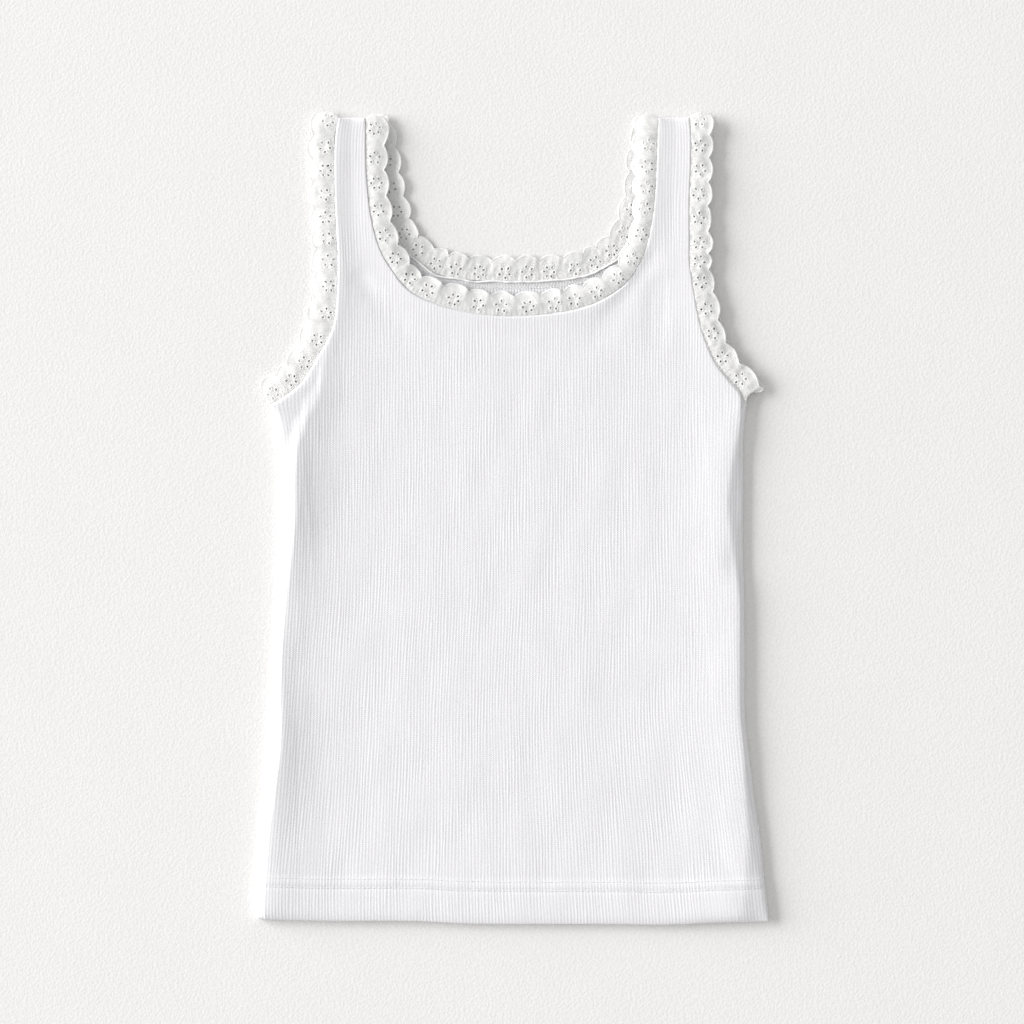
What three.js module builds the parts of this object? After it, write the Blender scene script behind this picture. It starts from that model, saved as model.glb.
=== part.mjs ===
import * as THREE from "three";

// Child's sleeveless rib-knit tank top with gathered eyelet lace, lying flat on its back panel.
// Millimetres: X across the garment, Y from hem to shoulders, Z up from the surface it lies on.

// Cloth
const CLOTH = 1.2;
const LACE = 1.0;
const SEAM_GAP = 0.3;
const LACE_GAP = 0.4;
const RIB_COUNT = 156;
const RIB_RISE = 0.45;
const EDGE_ROUND = 0.45;

// Hem, turned up inside and stitched down
const HEM_DEPTH = 20.5;
const HEM_STEP = 1.5;
const HEM_EXTRA = 0.5;

// Body
const SHOULDER_Y = 200.25;
const UNDERARM_Y = 56.25;
const CORNER_RISE = 21.25;
const CORNER_SPREAD = 0.08;
const CORNER_FLARE = { left: 5.0, right: 1.7 };
const PUFF = 0.25;
const PUFF_REACH = 2;
const FOLD_REACH = 0.8;
const SEAM_RISE = 0.8;
const SEAM_FALL = 6;

// Lace: the scallops' depth is a share of the reach
const SCALLOP_DEPTH = 0.2;
const COLUMNS_PER_SCALLOP = 4;
const LACE_ROWS = 2;
const LACE_LIFT = 1.2;
const LACE_CROWN = 0.2;
const SWELL = 0.6;
const SWELL_LENGTH = 2.6;
const RUFFLE = 0.7;
const RUFFLE_START = 0.6;
const NECK_LIFT = 0.4;

// Heights of the undersides that lie on the back pieces
const FRONT_REST = CLOTH + SEAM_GAP;
const LACE_REST = FRONT_REST + 0.1;

// Mesh rows: shares of the way up the body above the hem, and steps up each strap
const FRONT_ROWS = [0, 0.18, 0.36, 0.54, 0.72, 0.85, 0.93, 1];
const BACK_ROWS = [0, 0.5, 1];
const STRAP_ROWS = 5;
const PLAIN_SPAN = 8;
const PLAIN_TOLERANCE = 0.06;
const CURVE_STEPS = 12;
const HALVINGS = 30;

// Rib lines where the straps start, counted in half ribs from the left side
const STRAPS = [
  { armhole: "left", from: 38, to: 78 },
  { armhole: "right", from: 234, to: 276 },
];

// Side edges of the body, from the hem up
const SIDES = [
  { y: -201, left: -127.9, right: 127.8 },
  { y: -181, left: -127.5, right: 125.6 },
  { y: -161, left: -125.9, right: 123.6 },
  { y: -141, left: -123.9, right: 120.6 },
  { y: -121, left: -121.9, right: 118.1 },
  { y: -100, left: -120.4, right: 115.9 },
  { y: -70, left: -118.9, right: 115.6 },
  { y: -41, left: -116.9, right: 115.4 },
  { y: -12, left: -115.9, right: 114.7 },
  { y: 12, left: -115.9, right: 114.9 },
];

// Hem edge across the body
const HEM = [
  { x: -128, y: -200.2 },
  { x: -95, y: -201.2 },
  { x: -50, y: -201.3 },
  { x: -20, y: -202.6 },
  { x: 50, y: -202.8 },
  { x: 75, y: -203.2 },
  { x: 100, y: -202.2 },
  { x: 128, y: -201.3 },
];

// Seams that carry lace. scallop counts the lace's scallops along the seam, reach is its width there.
const ARMHOLES = {
  left: [
    { x: -86.9, y: 200.4, scallop: 0.15, reach: 13.6 },
    { x: -88.6, y: 190.2, scallop: 1.07, reach: 13.8 },
    { x: -88.9, y: 176.8, scallop: 2.22, reach: 13.7 },
    { x: -88.6, y: 156.8, scallop: 3.9, reach: 12.9 },
    { x: -87.4, y: 134.2, scallop: 6.1, reach: 12.7 },
    { x: -87.4, y: 114.2, scallop: 7.66, reach: 13.6 },
    { x: -88.7, y: 99.2, scallop: 8.69, reach: 14.6 },
    { x: -92.2, y: 89.2, scallop: 9.29, reach: 14.6 },
    { x: -97.1, y: 80.8, scallop: 10.01, reach: 13.8 },
    { x: -104.2, y: 69.2, scallop: 11.1, reach: 13.5 },
    { x: -111.4, y: 62.5, scallop: 11.93, reach: 13.4 },
    { x: -120.9, y: 56.25, scallop: 12.94, reach: 13.2 },
  ],
  right: [
    { x: 88.1, y: 200.4, scallop: 0.15, reach: 12.2 },
    { x: 88.9, y: 191.8, scallop: 0.94, reach: 11.6 },
    { x: 88.8, y: 176.8, scallop: 2.29, reach: 11.2 },
    { x: 88.1, y: 159.2, scallop: 3.78, reach: 11.2 },
    { x: 88.2, y: 139.2, scallop: 5.38, reach: 11.3 },
    { x: 88.2, y: 128.2, scallop: 6.47, reach: 10.8 },
    { x: 90.1, y: 114.2, scallop: 7.79, reach: 11.6 },
    { x: 92.9, y: 99.2, scallop: 8.85, reach: 11.2 },
    { x: 95.9, y: 89.2, scallop: 9.63, reach: 11.0 },
    { x: 100.4, y: 78.8, scallop: 10.44, reach: 11.4 },
    { x: 107.1, y: 69.8, scallop: 11.16, reach: 11.8 },
    { x: 112.8, y: 63.2, scallop: 11.85, reach: 12.6 },
    { x: 116.6, y: 56.25, scallop: 12.43, reach: 12.8 },
  ],
};
const FRONT_NECK = [
  { x: -73.9, y: 200.25, scallop: 0.04, reach: 11.4 },
  { x: -73.8, y: 184.2, scallop: 1.16, reach: 11.4 },
  { x: -73.3, y: 169.2, scallop: 2.31, reach: 11.4 },
  { x: -70.9, y: 149.2, scallop: 3.85, reach: 11.3 },
  { x: -66.4, y: 133.8, scallop: 4.98, reach: 11.4 },
  { x: -59.4, y: 122.2, scallop: 5.95, reach: 11.2 },
  { x: -51.4, y: 113.5, scallop: 6.9, reach: 10.8 },
  { x: -40.4, y: 107.9, scallop: 7.78, reach: 11.4 },
  { x: -23.4, y: 103.0, scallop: 9.01, reach: 12.8 },
  { x: -3.9, y: 100.8, scallop: 10.68, reach: 12.6 },
  { x: 16.1, y: 101.8, scallop: 12.07, reach: 12.4 },
  { x: 33.6, y: 104.8, scallop: 13.65, reach: 12.4 },
  { x: 46.1, y: 109.8, scallop: 14.66, reach: 12.0 },
  { x: 57.1, y: 117.8, scallop: 15.62, reach: 11.2 },
  { x: 63.6, y: 127.2, scallop: 16.48, reach: 10.6 },
  { x: 68.1, y: 138.8, scallop: 17.33, reach: 10.4 },
  { x: 70.9, y: 154.2, scallop: 18.47, reach: 11.0 },
  { x: 72.1, y: 169.2, scallop: 19.91, reach: 11.8 },
  { x: 72.6, y: 184.2, scallop: 21.29, reach: 12.2 },
  { x: 73.2, y: 200.25, scallop: 22.78, reach: 12.4 },
];
const BACK_NECK = [
  { x: -72.6, y: 200.25, scallop: 0.7, reach: 12.4 },
  { x: -71.9, y: 193.0, scallop: 1.28, reach: 12.6 },
  { x: -69.3, y: 184.2, scallop: 1.97, reach: 12.8 },
  { x: -66.9, y: 171.8, scallop: 2.96, reach: 12.1 },
  { x: -64.4, y: 159.2, scallop: 3.96, reach: 11.6 },
  { x: -60.9, y: 146.8, scallop: 4.98, reach: 11.2 },
  { x: -54.9, y: 135.2, scallop: 5.99, reach: 11.4 },
  { x: -47.4, y: 128.2, scallop: 6.82, reach: 12.3 },
  { x: -37.9, y: 122.0, scallop: 7.76, reach: 13.0 },
  { x: -23.9, y: 119.2, scallop: 8.88, reach: 13.2 },
  { x: -3.9, y: 118.5, scallop: 10.5, reach: 12.9 },
  { x: 18.6, y: 119.0, scallop: 12.5, reach: 12.8 },
  { x: 33.6, y: 121.0, scallop: 13.62, reach: 13.0 },
  { x: 43.6, y: 124.2, scallop: 14.5, reach: 12.8 },
  { x: 52.1, y: 130.2, scallop: 15.4, reach: 12.4 },
  { x: 59.6, y: 140.2, scallop: 16.4, reach: 11.4 },
  { x: 64.1, y: 151.8, scallop: 17.4, reach: 11.2 },
  { x: 67.1, y: 164.2, scallop: 18.4, reach: 11.4 },
  { x: 69.1, y: 179.2, scallop: 19.6, reach: 11.8 },
  { x: 71.0, y: 191.0, scallop: 20.56, reach: 12.0 },
  { x: 71.8, y: 200.25, scallop: 21.3, reach: 12.0 },
];

// Folds of the front: a ridge or trough along a line, with its width and height
const FOLDS = [
  { x0: -76.4, y0: 119.0, x1: -56.4, y1: 97.0, width: 4.5, height: -0.4 },
  { x0: 68.6, y0: 130.0, x1: 43.6, y1: 94.0, width: 5.0, height: -0.5 },
  { x0: 72.6, y0: 114.0, x1: 72.2, y1: 92.0, width: 6.0, height: -0.4 },
  { x0: 110.6, y0: -18.0, x1: 110.6, y1: -24.0, width: 5.0, height: -0.6 },
  { x0: -83.9, y0: -172.0, x1: -83.9, y1: -180.0, width: 6.0, height: -0.2 },
  { x0: 101.1, y0: -166.0, x1: 124.6, y1: -201.0, width: 6.0, height: -0.3 },
];

// Rolls along both sides, each a crest line with its height, the width of its outer slope, the fall
// of its inner slope and the bluntness of its crest. The left one leaves the side below the underarm,
// runs up to the armhole as a sharp ridge and fades along the strap's seam.
const ROLLS = {
  left: [
    { x: -112.0, y: -197.0, height: 1.8, width: 5.5, fall: 9.0, blunt: 1.0 },
    { x: -113.5, y: -180.0, height: 2.0, width: 5.5, fall: 8.5, blunt: 1.0 },
    { x: -116.0, y: -156.0, height: 2.0, width: 5.0, fall: 6.5, blunt: 0.9 },
    { x: -114.6, y: -116.0, height: 2.9, width: 4.6, fall: 6.0, blunt: 0.9 },
    { x: -115.8, y: -76.0, height: 1.5, width: 2.6, fall: 5.5, blunt: 0.8 },
    { x: -112.4, y: -40.0, height: 1.5, width: 3.6, fall: 8.0, blunt: 0.8 },
    { x: -108.4, y: 0.0, height: 2.8, width: 4.4, fall: 5.6, blunt: 0.85 },
    { x: -108.3, y: 26.0, height: 3.0, width: 3.6, fall: 6.4, blunt: 0.85 },
    { x: -107.1, y: 42.2, height: 3.2, width: 1.8, fall: 7.8, blunt: 0.8 },
    { x: -104.4, y: 49.1, height: 3.1, width: 1.3, fall: 8.0, blunt: 0.8 },
    { x: -102.1, y: 54.8, height: 2.8, width: 1.2, fall: 8.0, blunt: 0.75 },
    { x: -97.1, y: 63.3, height: 2.3, width: 1.1, fall: 8.0, blunt: 0.7 },
    { x: -94.6, y: 72.8, height: 1.8, width: 1.0, fall: 7.5, blunt: 0.6 },
    { x: -92.8, y: 84.0, height: 1.4, width: 1.0, fall: 6.5, blunt: 0.6 },
    { x: -88.6, y: 97.0, height: 1.1, width: 1.0, fall: 5.0, blunt: 0.6 },
    { x: -86.8, y: 112.0, height: 0.8, width: 1.0, fall: 4.5, blunt: 0.6 },
    { x: -86.6, y: 134.0, height: 0.35, width: 1.0, fall: 4.5, blunt: 1.0 },
    { x: -87.6, y: 160.0, height: 0.35, width: 1.0, fall: 4.5, blunt: 1.0 },
    { x: -87.9, y: 180.0, height: 0.5, width: 1.0, fall: 5.0, blunt: 1.0 },
    { x: -86.6, y: 200.0, height: 0.5, width: 1.0, fall: 5.0, blunt: 1.0 },
  ],
  right: [
    { x: 113.5, y: -197.0, height: 1.5, width: 9.0, fall: 14.0, blunt: 1.0 },
    { x: 116.5, y: -156.0, height: 1.3, width: 5.0, fall: 11.0, blunt: 1.0 },
    { x: 115.2, y: -116.0, height: 1.5, width: 2.0, fall: 11.0, blunt: 1.0 },
    { x: 114.0, y: -76.0, height: 1.6, width: 1.8, fall: 11.0, blunt: 1.0 },
    { x: 113.4, y: -40.0, height: 1.4, width: 2.0, fall: 10.0, blunt: 1.0 },
    { x: 105.5, y: 6.0, height: 1.5, width: 5.5, fall: 8.0, blunt: 1.0 },
    { x: 108.5, y: 26.0, height: 1.5, width: 4.5, fall: 9.5, blunt: 1.0 },
    { x: 113.2, y: 44.0, height: 1.5, width: 2.0, fall: 11.0, blunt: 1.0 },
    { x: 113.6, y: 54.0, height: 1.2, width: 2.0, fall: 11.0, blunt: 1.0 },
  ],
};

const HALF_RIBS = 2 * RIB_COUNT;

// A smooth curve through one column of a table, level past its ends
function follow(table, key, column) {
  const slope = (i) => {
    const before = table[Math.max(i - 1, 0)];
    const after = table[Math.min(i + 1, table.length - 1)];
    return (after[column] - before[column]) / (after[key] - before[key]);
  };
  return (at) => {
    const next = table.findIndex((row) => row[key] > at);
    if (next === 0) return table[0][column];
    if (next < 0) return table.at(-1)[column];
    const start = table[next - 1];
    const end = table[next];
    const span = end[key] - start[key];
    const t = (at - start[key]) / span;
    const bend = t * (1 - t) * span;
    const straight = THREE.MathUtils.lerp(start[column], end[column], t * t * (3 - 2 * t));
    return straight + bend * ((1 - t) * slope(next - 1) - t * slope(next));
  };
}

const seamCurve = (stations) => {
  return new THREE.SplineCurve(stations.map(({ x, y }) => new THREE.Vector2(x, y)));
};

// Where a polyline crosses key = at: the other coordinate of the crossing nearest to the line's end
function crossing(line, key, at) {
  const other = key === "x" ? "y" : "x";
  for (let i = line.length - 1; i > 0; i--) {
    const start = line[i - 1];
    const end = line[i];
    const t = (at - start[key]) / (end[key] - start[key]);
    if (t >= 0 && t <= 1) return THREE.MathUtils.lerp(start[other], end[other], t);
  }
  return null;
}

const sideX = { left: follow(SIDES, "y", "left"), right: follow(SIDES, "y", "right") };
const hemY = follow(HEM, "x", "y");
const polyline = (stations) => seamCurve(stations).getPoints(CURVE_STEPS * (stations.length - 1));
const armholeLine = { left: polyline(ARMHOLES.left), right: polyline(ARMHOLES.right) };

// A rib's line: the share u of the way across the body, spread towards the underarm corners
function ribX(u, y) {
  const rise = THREE.MathUtils.clamp(1 - (UNDERARM_Y - y) / CORNER_RISE, 0, 1) ** 2;
  const left = rise * CORNER_FLARE.left * Math.max(0, 1 - u / CORNER_SPREAD) ** 2;
  const right = rise * CORNER_FLARE.right * Math.max(0, 1 - (1 - u) / CORNER_SPREAD) ** 2;
  return THREE.MathUtils.lerp(sideX.left(y), sideX.right(y), u) - left + right;
}

// Height at which the rib u meets a seam, found by halving. missing is the seam's height past its end.
function meet(u, line, lineX, missing) {
  let low = 0;
  let high = SHOULDER_Y;
  for (let step = 0; step < HALVINGS; step++) {
    const y = (low + high) / 2;
    if ((crossing(line, "x", lineX(u, y)) ?? missing) > y) low = y;
    else high = y;
  }
  return high;
}

// Top of the body block on the rib u: underarm seam, strap root or neckline
function blockTop(half, neckLine) {
  const [left, right] = STRAPS;
  const u = half / HALF_RIBS;
  if (half <= left.from) return meet(u, armholeLine.left, ribX, UNDERARM_Y);
  if (half >= right.to) return meet(u, armholeLine.right, ribX, UNDERARM_Y);
  if (half >= left.to && half <= right.from) return meet(u, neckLine, ribX, SHOULDER_Y);
  const strap = half < left.to ? left : right;
  const t = (half - strap.from) / (strap.to - strap.from);
  return THREE.MathUtils.lerp(blockTop(strap.from, neckLine), blockTop(strap.to, neckLine), t);
}

// A rib on a strap leans with the armhole seam beside it
function strapX(strap, u, y) {
  const outer = (strap.armhole === "left" ? strap.from : strap.to) / HALF_RIBS;
  const inner = (strap.armhole === "left" ? strap.to : strap.from) / HALF_RIBS;
  const lean = (crossing(armholeLine[strap.armhole], "y", y) ?? ribX(outer, y)) - ribX(outer, y);
  return ribX(u, y) + (lean * (inner - u)) / (inner - outer);
}

// Flat patch of a panel: points { half, x, y } on rib lines, with the body block and both straps
function panelPatch(neckLine, halves, bodyRows) {
  const points = [];
  const triangles = [];
  const add = (half, x, y) => points.push({ half, x, y }) - 1;
  const join = (grid) => {
    for (let c = 0; c + 1 < grid.length; c++) {
      for (let r = 0; r + 1 < grid[c].length; r++) {
        const [a, b, d, e] = [grid[c][r], grid[c + 1][r], grid[c + 1][r + 1], grid[c][r + 1]];
        for (const triangle of [[a, b, d], [a, d, e]]) {
          if (new Set(triangle).size === 3) triangles.push(triangle);
        }
      }
    }
  };

  const block = halves.map((half) => {
    const u = half / HALF_RIBS;
    const hem = hemY(ribX(u, SIDES[0].y));
    const bandTop = hem + HEM_DEPTH + HEM_STEP;
    const top = blockTop(half, neckLine);
    const body = bodyRows.map((share) => THREE.MathUtils.lerp(bandTop, top, share));
    return [hem, hem + HEM_DEPTH, ...body].map((y) => add(half, ribX(u, y), y));
  });
  join(block);

  for (const strap of STRAPS) {
    const inStrap = (half) => half >= strap.from && half <= strap.to;
    join(halves.filter(inStrap).map((half) => {
      const u = half / HALF_RIBS;
      const root = block[halves.indexOf(half)].at(-1);
      const neckEnd = half === (strap.armhole === "left" ? strap.to : strap.from);
      const top = meet(u, neckLine, (v, y) => strapX(strap, v, y), SHOULDER_Y);
      const column = [root];
      for (let row = 1; row <= STRAP_ROWS; row++) {
        const y = THREE.MathUtils.lerp(points[root].y, top, row / STRAP_ROWS);
        column.push(neckEnd ? root : add(half, strapX(strap, u, y), y));
      }
      return column;
    }));
  }
  return { points, triangles };
}

// Rib lines of a plain surface: as few as keep its outline within the tolerance of the ribbed one
function plainHalves(neckLine) {
  const outline = [];
  for (let half = 0; half <= HALF_RIBS; half++) {
    const strap = STRAPS.find(({ from, to }) => half > from && half < to);
    const lineX = strap ? (v, y) => strapX(strap, v, y) : ribX;
    const u = half / HALF_RIBS;
    const y = strap ? meet(u, neckLine, lineX, SHOULDER_Y) : blockTop(half, neckLine);
    outline.push(new THREE.Vector3(lineX(u, y), y, 0));
  }
  const fixed = STRAPS.flatMap(({ from, to }) => [from, to]);
  const chord = new THREE.Line3();
  const nearest = new THREE.Vector3();
  const bends = (from, to) => {
    chord.set(outline[from], outline[to]);
    return outline.slice(from + 1, to).some((point) => {
      return chord.closestPointToPoint(point, true, nearest).distanceTo(point) > PLAIN_TOLERANCE;
    });
  };
  const kept = [0];
  for (let half = 1; half < HALF_RIBS; half++) {
    const last = kept.at(-1);
    const full = half + 1 - last > PLAIN_SPAN;
    if (fixed.includes(half) || full || bends(last, half + 1)) kept.push(half);
  }
  return [...kept, HALF_RIBS];
}

// The patch's edge as one loop of point numbers, anticlockwise from the lower left corner
function edgeLoop({ points, triangles }) {
  const sides = triangles.flatMap(([a, b, c]) => [[a, b], [b, c], [c, a]]);
  const all = new Set(sides.map(([a, b]) => `${a} ${b}`));
  const next = new Map(sides.filter(([a, b]) => !all.has(`${b} ${a}`)));
  const corner = (i) => points[i].x + points[i].y;
  const start = [...next.keys()].reduce((best, i) => (corner(i) < corner(best) ? i : best));
  const loop = [start];
  while (next.get(loop.at(-1)) !== start) loop.push(next.get(loop.at(-1)));
  return loop;
}

// The steps of a flat line as Line3s
function stepsOf(line) {
  const corners = line.map(({ x, y }) => new THREE.Vector3(x, y, 0));
  return corners.slice(1).map((corner, i) => new THREE.Line3(corners[i], corner));
}

// Distance of each point of a patch from the nearest of the steps
function distances(points, steps) {
  const nearest = new THREE.Vector3();
  return points.map(({ x, y }) => {
    const point = new THREE.Vector3(x, y, 0);
    return steps.reduce((least, step) => {
      return Math.min(least, step.closestPointToPoint(point, true, nearest).distanceTo(point));
    }, Infinity);
  });
}

// Rise of the front's folds at a point, each a soft ridge or trough along its line
function foldRise(x, y) {
  return FOLDS.reduce((rise, { x0, y0, x1, y1, width, height }) => {
    const along = ((x - x0) * (x1 - x0) + (y - y0) * (y1 - y0)) / ((x1 - x0) ** 2 + (y1 - y0) ** 2);
    const t = THREE.MathUtils.clamp(along, 0, 1);
    const away = Math.hypot(x - x0 - t * (x1 - x0), y - y0 - t * (y1 - y0));
    return rise + height * Math.exp(-((away / width) ** 2));
  }, 0);
}

// Rise of a side roll at a point. Both slopes fade with the distance from the crest line, counted in
// widths on the outer side of it and in falls on the inner side.
function rollRise(x, y, side) {
  const inwards = side === "left" ? 1 : -1;
  const crest = ROLLS[side];
  let nearest = Infinity;
  let rise = 0;
  for (let i = 0; i + 1 < crest.length; i++) {
    const [start, end] = [crest[i], crest[i + 1]];
    const [runX, runY] = [end.x - start.x, end.y - start.y];
    const along = ((x - start.x) * runX + (y - start.y) * runY) / (runX ** 2 + runY ** 2);
    const t = THREE.MathUtils.clamp(along, 0, 1);
    const awayX = x - start.x - t * runX;
    const awayY = y - start.y - t * runY;
    const away = Math.hypot(awayX, awayY);
    if (away >= nearest) continue;
    nearest = away;
    const at = (word) => THREE.MathUtils.lerp(start[word], end[word], t);
    const inside = (awayX * runY - awayY * runX) * inwards > 0;
    const far = away / at(inside ? "fall" : "width");
    const share = inside ? (1 + at("blunt") * far) * Math.exp(-far) : Math.exp(-(far ** 2));
    rise = at("height") * share;
  }
  return rise;
}

// Underside of the front panel: it rests on the back panel at its edges, puffs up between them with
// its folds and rolls, and stands up along the seams that carry lace
function frontUnderside({ x, y }, edge, seam) {
  const puff = PUFF * (1 - Math.exp(-edge / PUFF_REACH));
  const rise = foldRise(x, y) + rollRise(x, y, "left") + rollRise(x, y, "right");
  const folds = rise * (1 - Math.exp(-edge / FOLD_REACH));
  return FRONT_REST + Math.max(0, puff + folds + SEAM_RISE * Math.exp(-seam / SEAM_FALL));
}

// Thickness of the front at a point: ribs stand out, the hem's turn is thicker, and edges are rounded
function panelThickness({ half, x, y }, edge) {
  const turned = y < hemY(x) + HEM_DEPTH + HEM_STEP / 2 ? HEM_EXTRA : 0;
  const rib = half % 2 === 1 ? RIB_RISE : 0;
  return CLOTH + turned + rib - EDGE_ROUND * Math.exp(-edge);
}

// A closed wall from an upper and a lower patch, its rim joined by the shorter diagonals
function wall(upper, lower, upperZ, lowerZ) {
  const vertices = [
    ...upper.points.map(({ x, y }, i) => new THREE.Vector3(x, y, upperZ[i])),
    ...lower.points.map(({ x, y }, i) => new THREE.Vector3(x, y, lowerZ[i])),
  ];
  const offset = upper.points.length;
  const above = edgeLoop(upper);
  const below = edgeLoop(lower).map((i) => i + offset);
  const faces = [...upper.triangles];
  for (const [a, b, c] of lower.triangles) faces.push([a + offset, c + offset, b + offset]);
  let i = 0;
  let j = 0;
  while (i < above.length || j < below.length) {
    const top = above[i % above.length];
    const nextTop = above[(i + 1) % above.length];
    const bottom = below[j % below.length];
    const nextBottom = below[(j + 1) % below.length];
    const topStep = vertices[nextTop].distanceTo(vertices[bottom]);
    const bottomStep = vertices[nextBottom].distanceTo(vertices[top]);
    if (j >= below.length || (i < above.length && topStep < bottomStep)) {
      faces.push([nextTop, top, bottom]);
      i += 1;
    } else {
      faces.push([bottom, nextBottom, top]);
      j += 1;
    }
  }
  const geometry = new THREE.BufferGeometry().setFromPoints(vertices);
  geometry.setIndex(faces.flat());
  return geometry;
}

function frontPanel() {
  const neckLine = polyline(FRONT_NECK);
  const every = Array.from({ length: HALF_RIBS + 1 }, (_, half) => half);
  const outside = panelPatch(neckLine, every, FRONT_ROWS);
  const inside = panelPatch(neckLine, plainHalves(neckLine), FRONT_ROWS);
  const outline = edgeLoop(outside).map((i) => outside.points[i]);
  const edgeSteps = stepsOf([...outline, outline[0]]);
  const seamSteps = [armholeLine.left, armholeLine.right, neckLine].flatMap(stepsOf);
  const heights = (patch, height) => {
    const edges = distances(patch.points, edgeSteps);
    const seams = distances(patch.points, seamSteps);
    return patch.points.map((point, i) => height(point, edges[i], seams[i]));
  };
  const insideZ = heights(inside, frontUnderside);
  const outsideZ = heights(outside, (point, edge, seam) => {
    return frontUnderside(point, edge, seam) + panelThickness(point, edge);
  });
  return wall(outside, inside, outsideZ, insideZ);
}

// The back lies flat on the surface, and its plain inside faces up
function backPanel() {
  const neckLine = polyline(BACK_NECK);
  const patch = panelPatch(neckLine, plainHalves(neckLine), BACK_ROWS);
  return wall(patch, patch, patch.points.map(() => CLOTH), patch.points.map(() => 0));
}

// Lace edge: 1 at the middle of a scallop and a little less in the notch between two
const scallopEdge = (scallop) => 1 - SCALLOP_DEPTH * (1 - Math.abs(Math.sin(Math.PI * scallop)));

// Slow swell along the free edge, shared by the two layers of lace at an armhole
const swell = (scallop) => (SWELL * (1 + Math.sin((2 * Math.PI * scallop) / SWELL_LENGTH))) / 2;

// Ruffle of the gathers, one wave for each scallop
const ruffle = (scallop) => (RUFFLE * (1 + Math.cos(2 * Math.PI * scallop + RUFFLE_START))) / 2;

// A strip of lace along a seam. side is 1 where it lies to the left of the seam's run, shift moves the
// scallops along, narrower takes a little off its reach, and underside(scallop, v) gives its height
// at the share v of the way out.
function laceStrip({ stations, side, shift = 0, narrower = 0, underside }) {
  const curve = seamCurve(stations);
  const first = stations[0].scallop + shift;
  const last = stations.at(-1).scallop + shift;
  const spacing = 1 / COLUMNS_PER_SCALLOP;
  const counts = [first];
  for (let k = Math.ceil(first / spacing); k <= last / spacing; k++) {
    const clear = k * spacing - first > spacing / 3 && last - k * spacing > spacing / 3;
    if (clear) counts.push(k * spacing);
  }
  counts.push(last);

  const points = [];
  const undersides = [];
  for (const count of counts) {
    const scallop = count - shift;
    const found = stations.findIndex((station) => station.scallop >= scallop);
    const next = Math.max(found < 0 ? stations.length - 1 : found, 1);
    const [from, to] = [stations[next - 1], stations[next]];
    const part = THREE.MathUtils.clamp((scallop - from.scallop) / (to.scallop - from.scallop), 0, 1);
    const at = (next - 1 + part) / (stations.length - 1);
    const seam = curve.getPoint(at);
    const run = curve.getTangent(at);
    const reach = (THREE.MathUtils.lerp(from.reach, to.reach, part) - narrower) * scallopEdge(count);
    for (let row = 0; row <= LACE_ROWS; row++) {
      const v = row / LACE_ROWS;
      const out = side * (LACE_GAP + v * reach);
      points.push({ x: seam.x - run.y * out, y: seam.y + run.x * out });
      undersides.push(underside(scallop, v));
    }
  }

  const triangles = [];
  const stride = LACE_ROWS + 1;
  for (let c = 0; c + 1 < counts.length; c++) {
    for (let row = 0; row < LACE_ROWS; row++) {
      const a = c * stride + row;
      const quad = [[a, a + stride, a + stride + 1], [a, a + stride + 1, a + 1]];
      triangles.push(...quad.map((triangle) => (side > 0 ? triangle : triangle.toReversed())));
    }
  }
  const patch = { points, triangles };
  return wall(patch, patch, undersides.map((z) => z + LACE), undersides);
}

// Undersides of the lace at the share v of the way out. The front strips start high, at the seam, and
// arch down to their edge.
const arch = (v) => LACE_REST + LACE_LIFT * (1 - v * v) + LACE_CROWN * 4 * v * (1 - v);
const backUnderside = (scallop, v) => swell(scallop) * v * v;
const armholeFrontUnderside = (scallop, v) => arch(v) + swell(scallop) * v * v + ruffle(scallop) * v;
const neckFrontUnderside = (scallop, v) => arch(v) + NECK_LIFT * v + ruffle(scallop) * v;

const knit = { color: 0xf1f0f3, roughness: 0.95, metalness: 0 };
const cotton = { color: 0xf6f5f4, roughness: 0.9, metalness: 0 };

const garment = new THREE.Group();

function addPiece(name, geometry, finish) {
  const mesh = new THREE.Mesh(geometry, new THREE.MeshStandardMaterial(finish));
  mesh.name = name;
  garment.add(mesh);
}

addPiece("front_panel", frontPanel(), knit);
addPiece("back_panel", backPanel(), knit);
addPiece(
  "lace_neck_front",
  laceStrip({ stations: FRONT_NECK, side: 1, underside: neckFrontUnderside }),
  cotton,
);
addPiece(
  "lace_neck_back",
  laceStrip({ stations: BACK_NECK, side: 1, underside: backUnderside }),
  cotton,
);
for (const [name, side] of [["left", -1], ["right", 1]]) {
  const stations = ARMHOLES[name];
  addPiece(
    `lace_armhole_${name}_front`,
    laceStrip({ stations, side, underside: armholeFrontUnderside }),
    cotton,
  );
  addPiece(
    `lace_armhole_${name}_back`,
    laceStrip({ stations, side, shift: 0.4, narrower: 0.8, underside: backUnderside }),
    cotton,
  );
}

// The origin lies under the middle of the whole garment, on the surface that it lies on
const extent = new THREE.Box3().setFromObject(garment, true);
const middle = extent.getCenter(new THREE.Vector3());
garment.position.set(-middle.x, -middle.y, -extent.min.z);

export default garment;
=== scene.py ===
"""Child's rib-knit tank top with gathered eyelet lace, laid flat on a pale floor.

Sizes are in millimetres until a mesh is made. X runs across the garment, Y from hem to shoulders and
Z up from the surface it lies on.
"""

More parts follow.
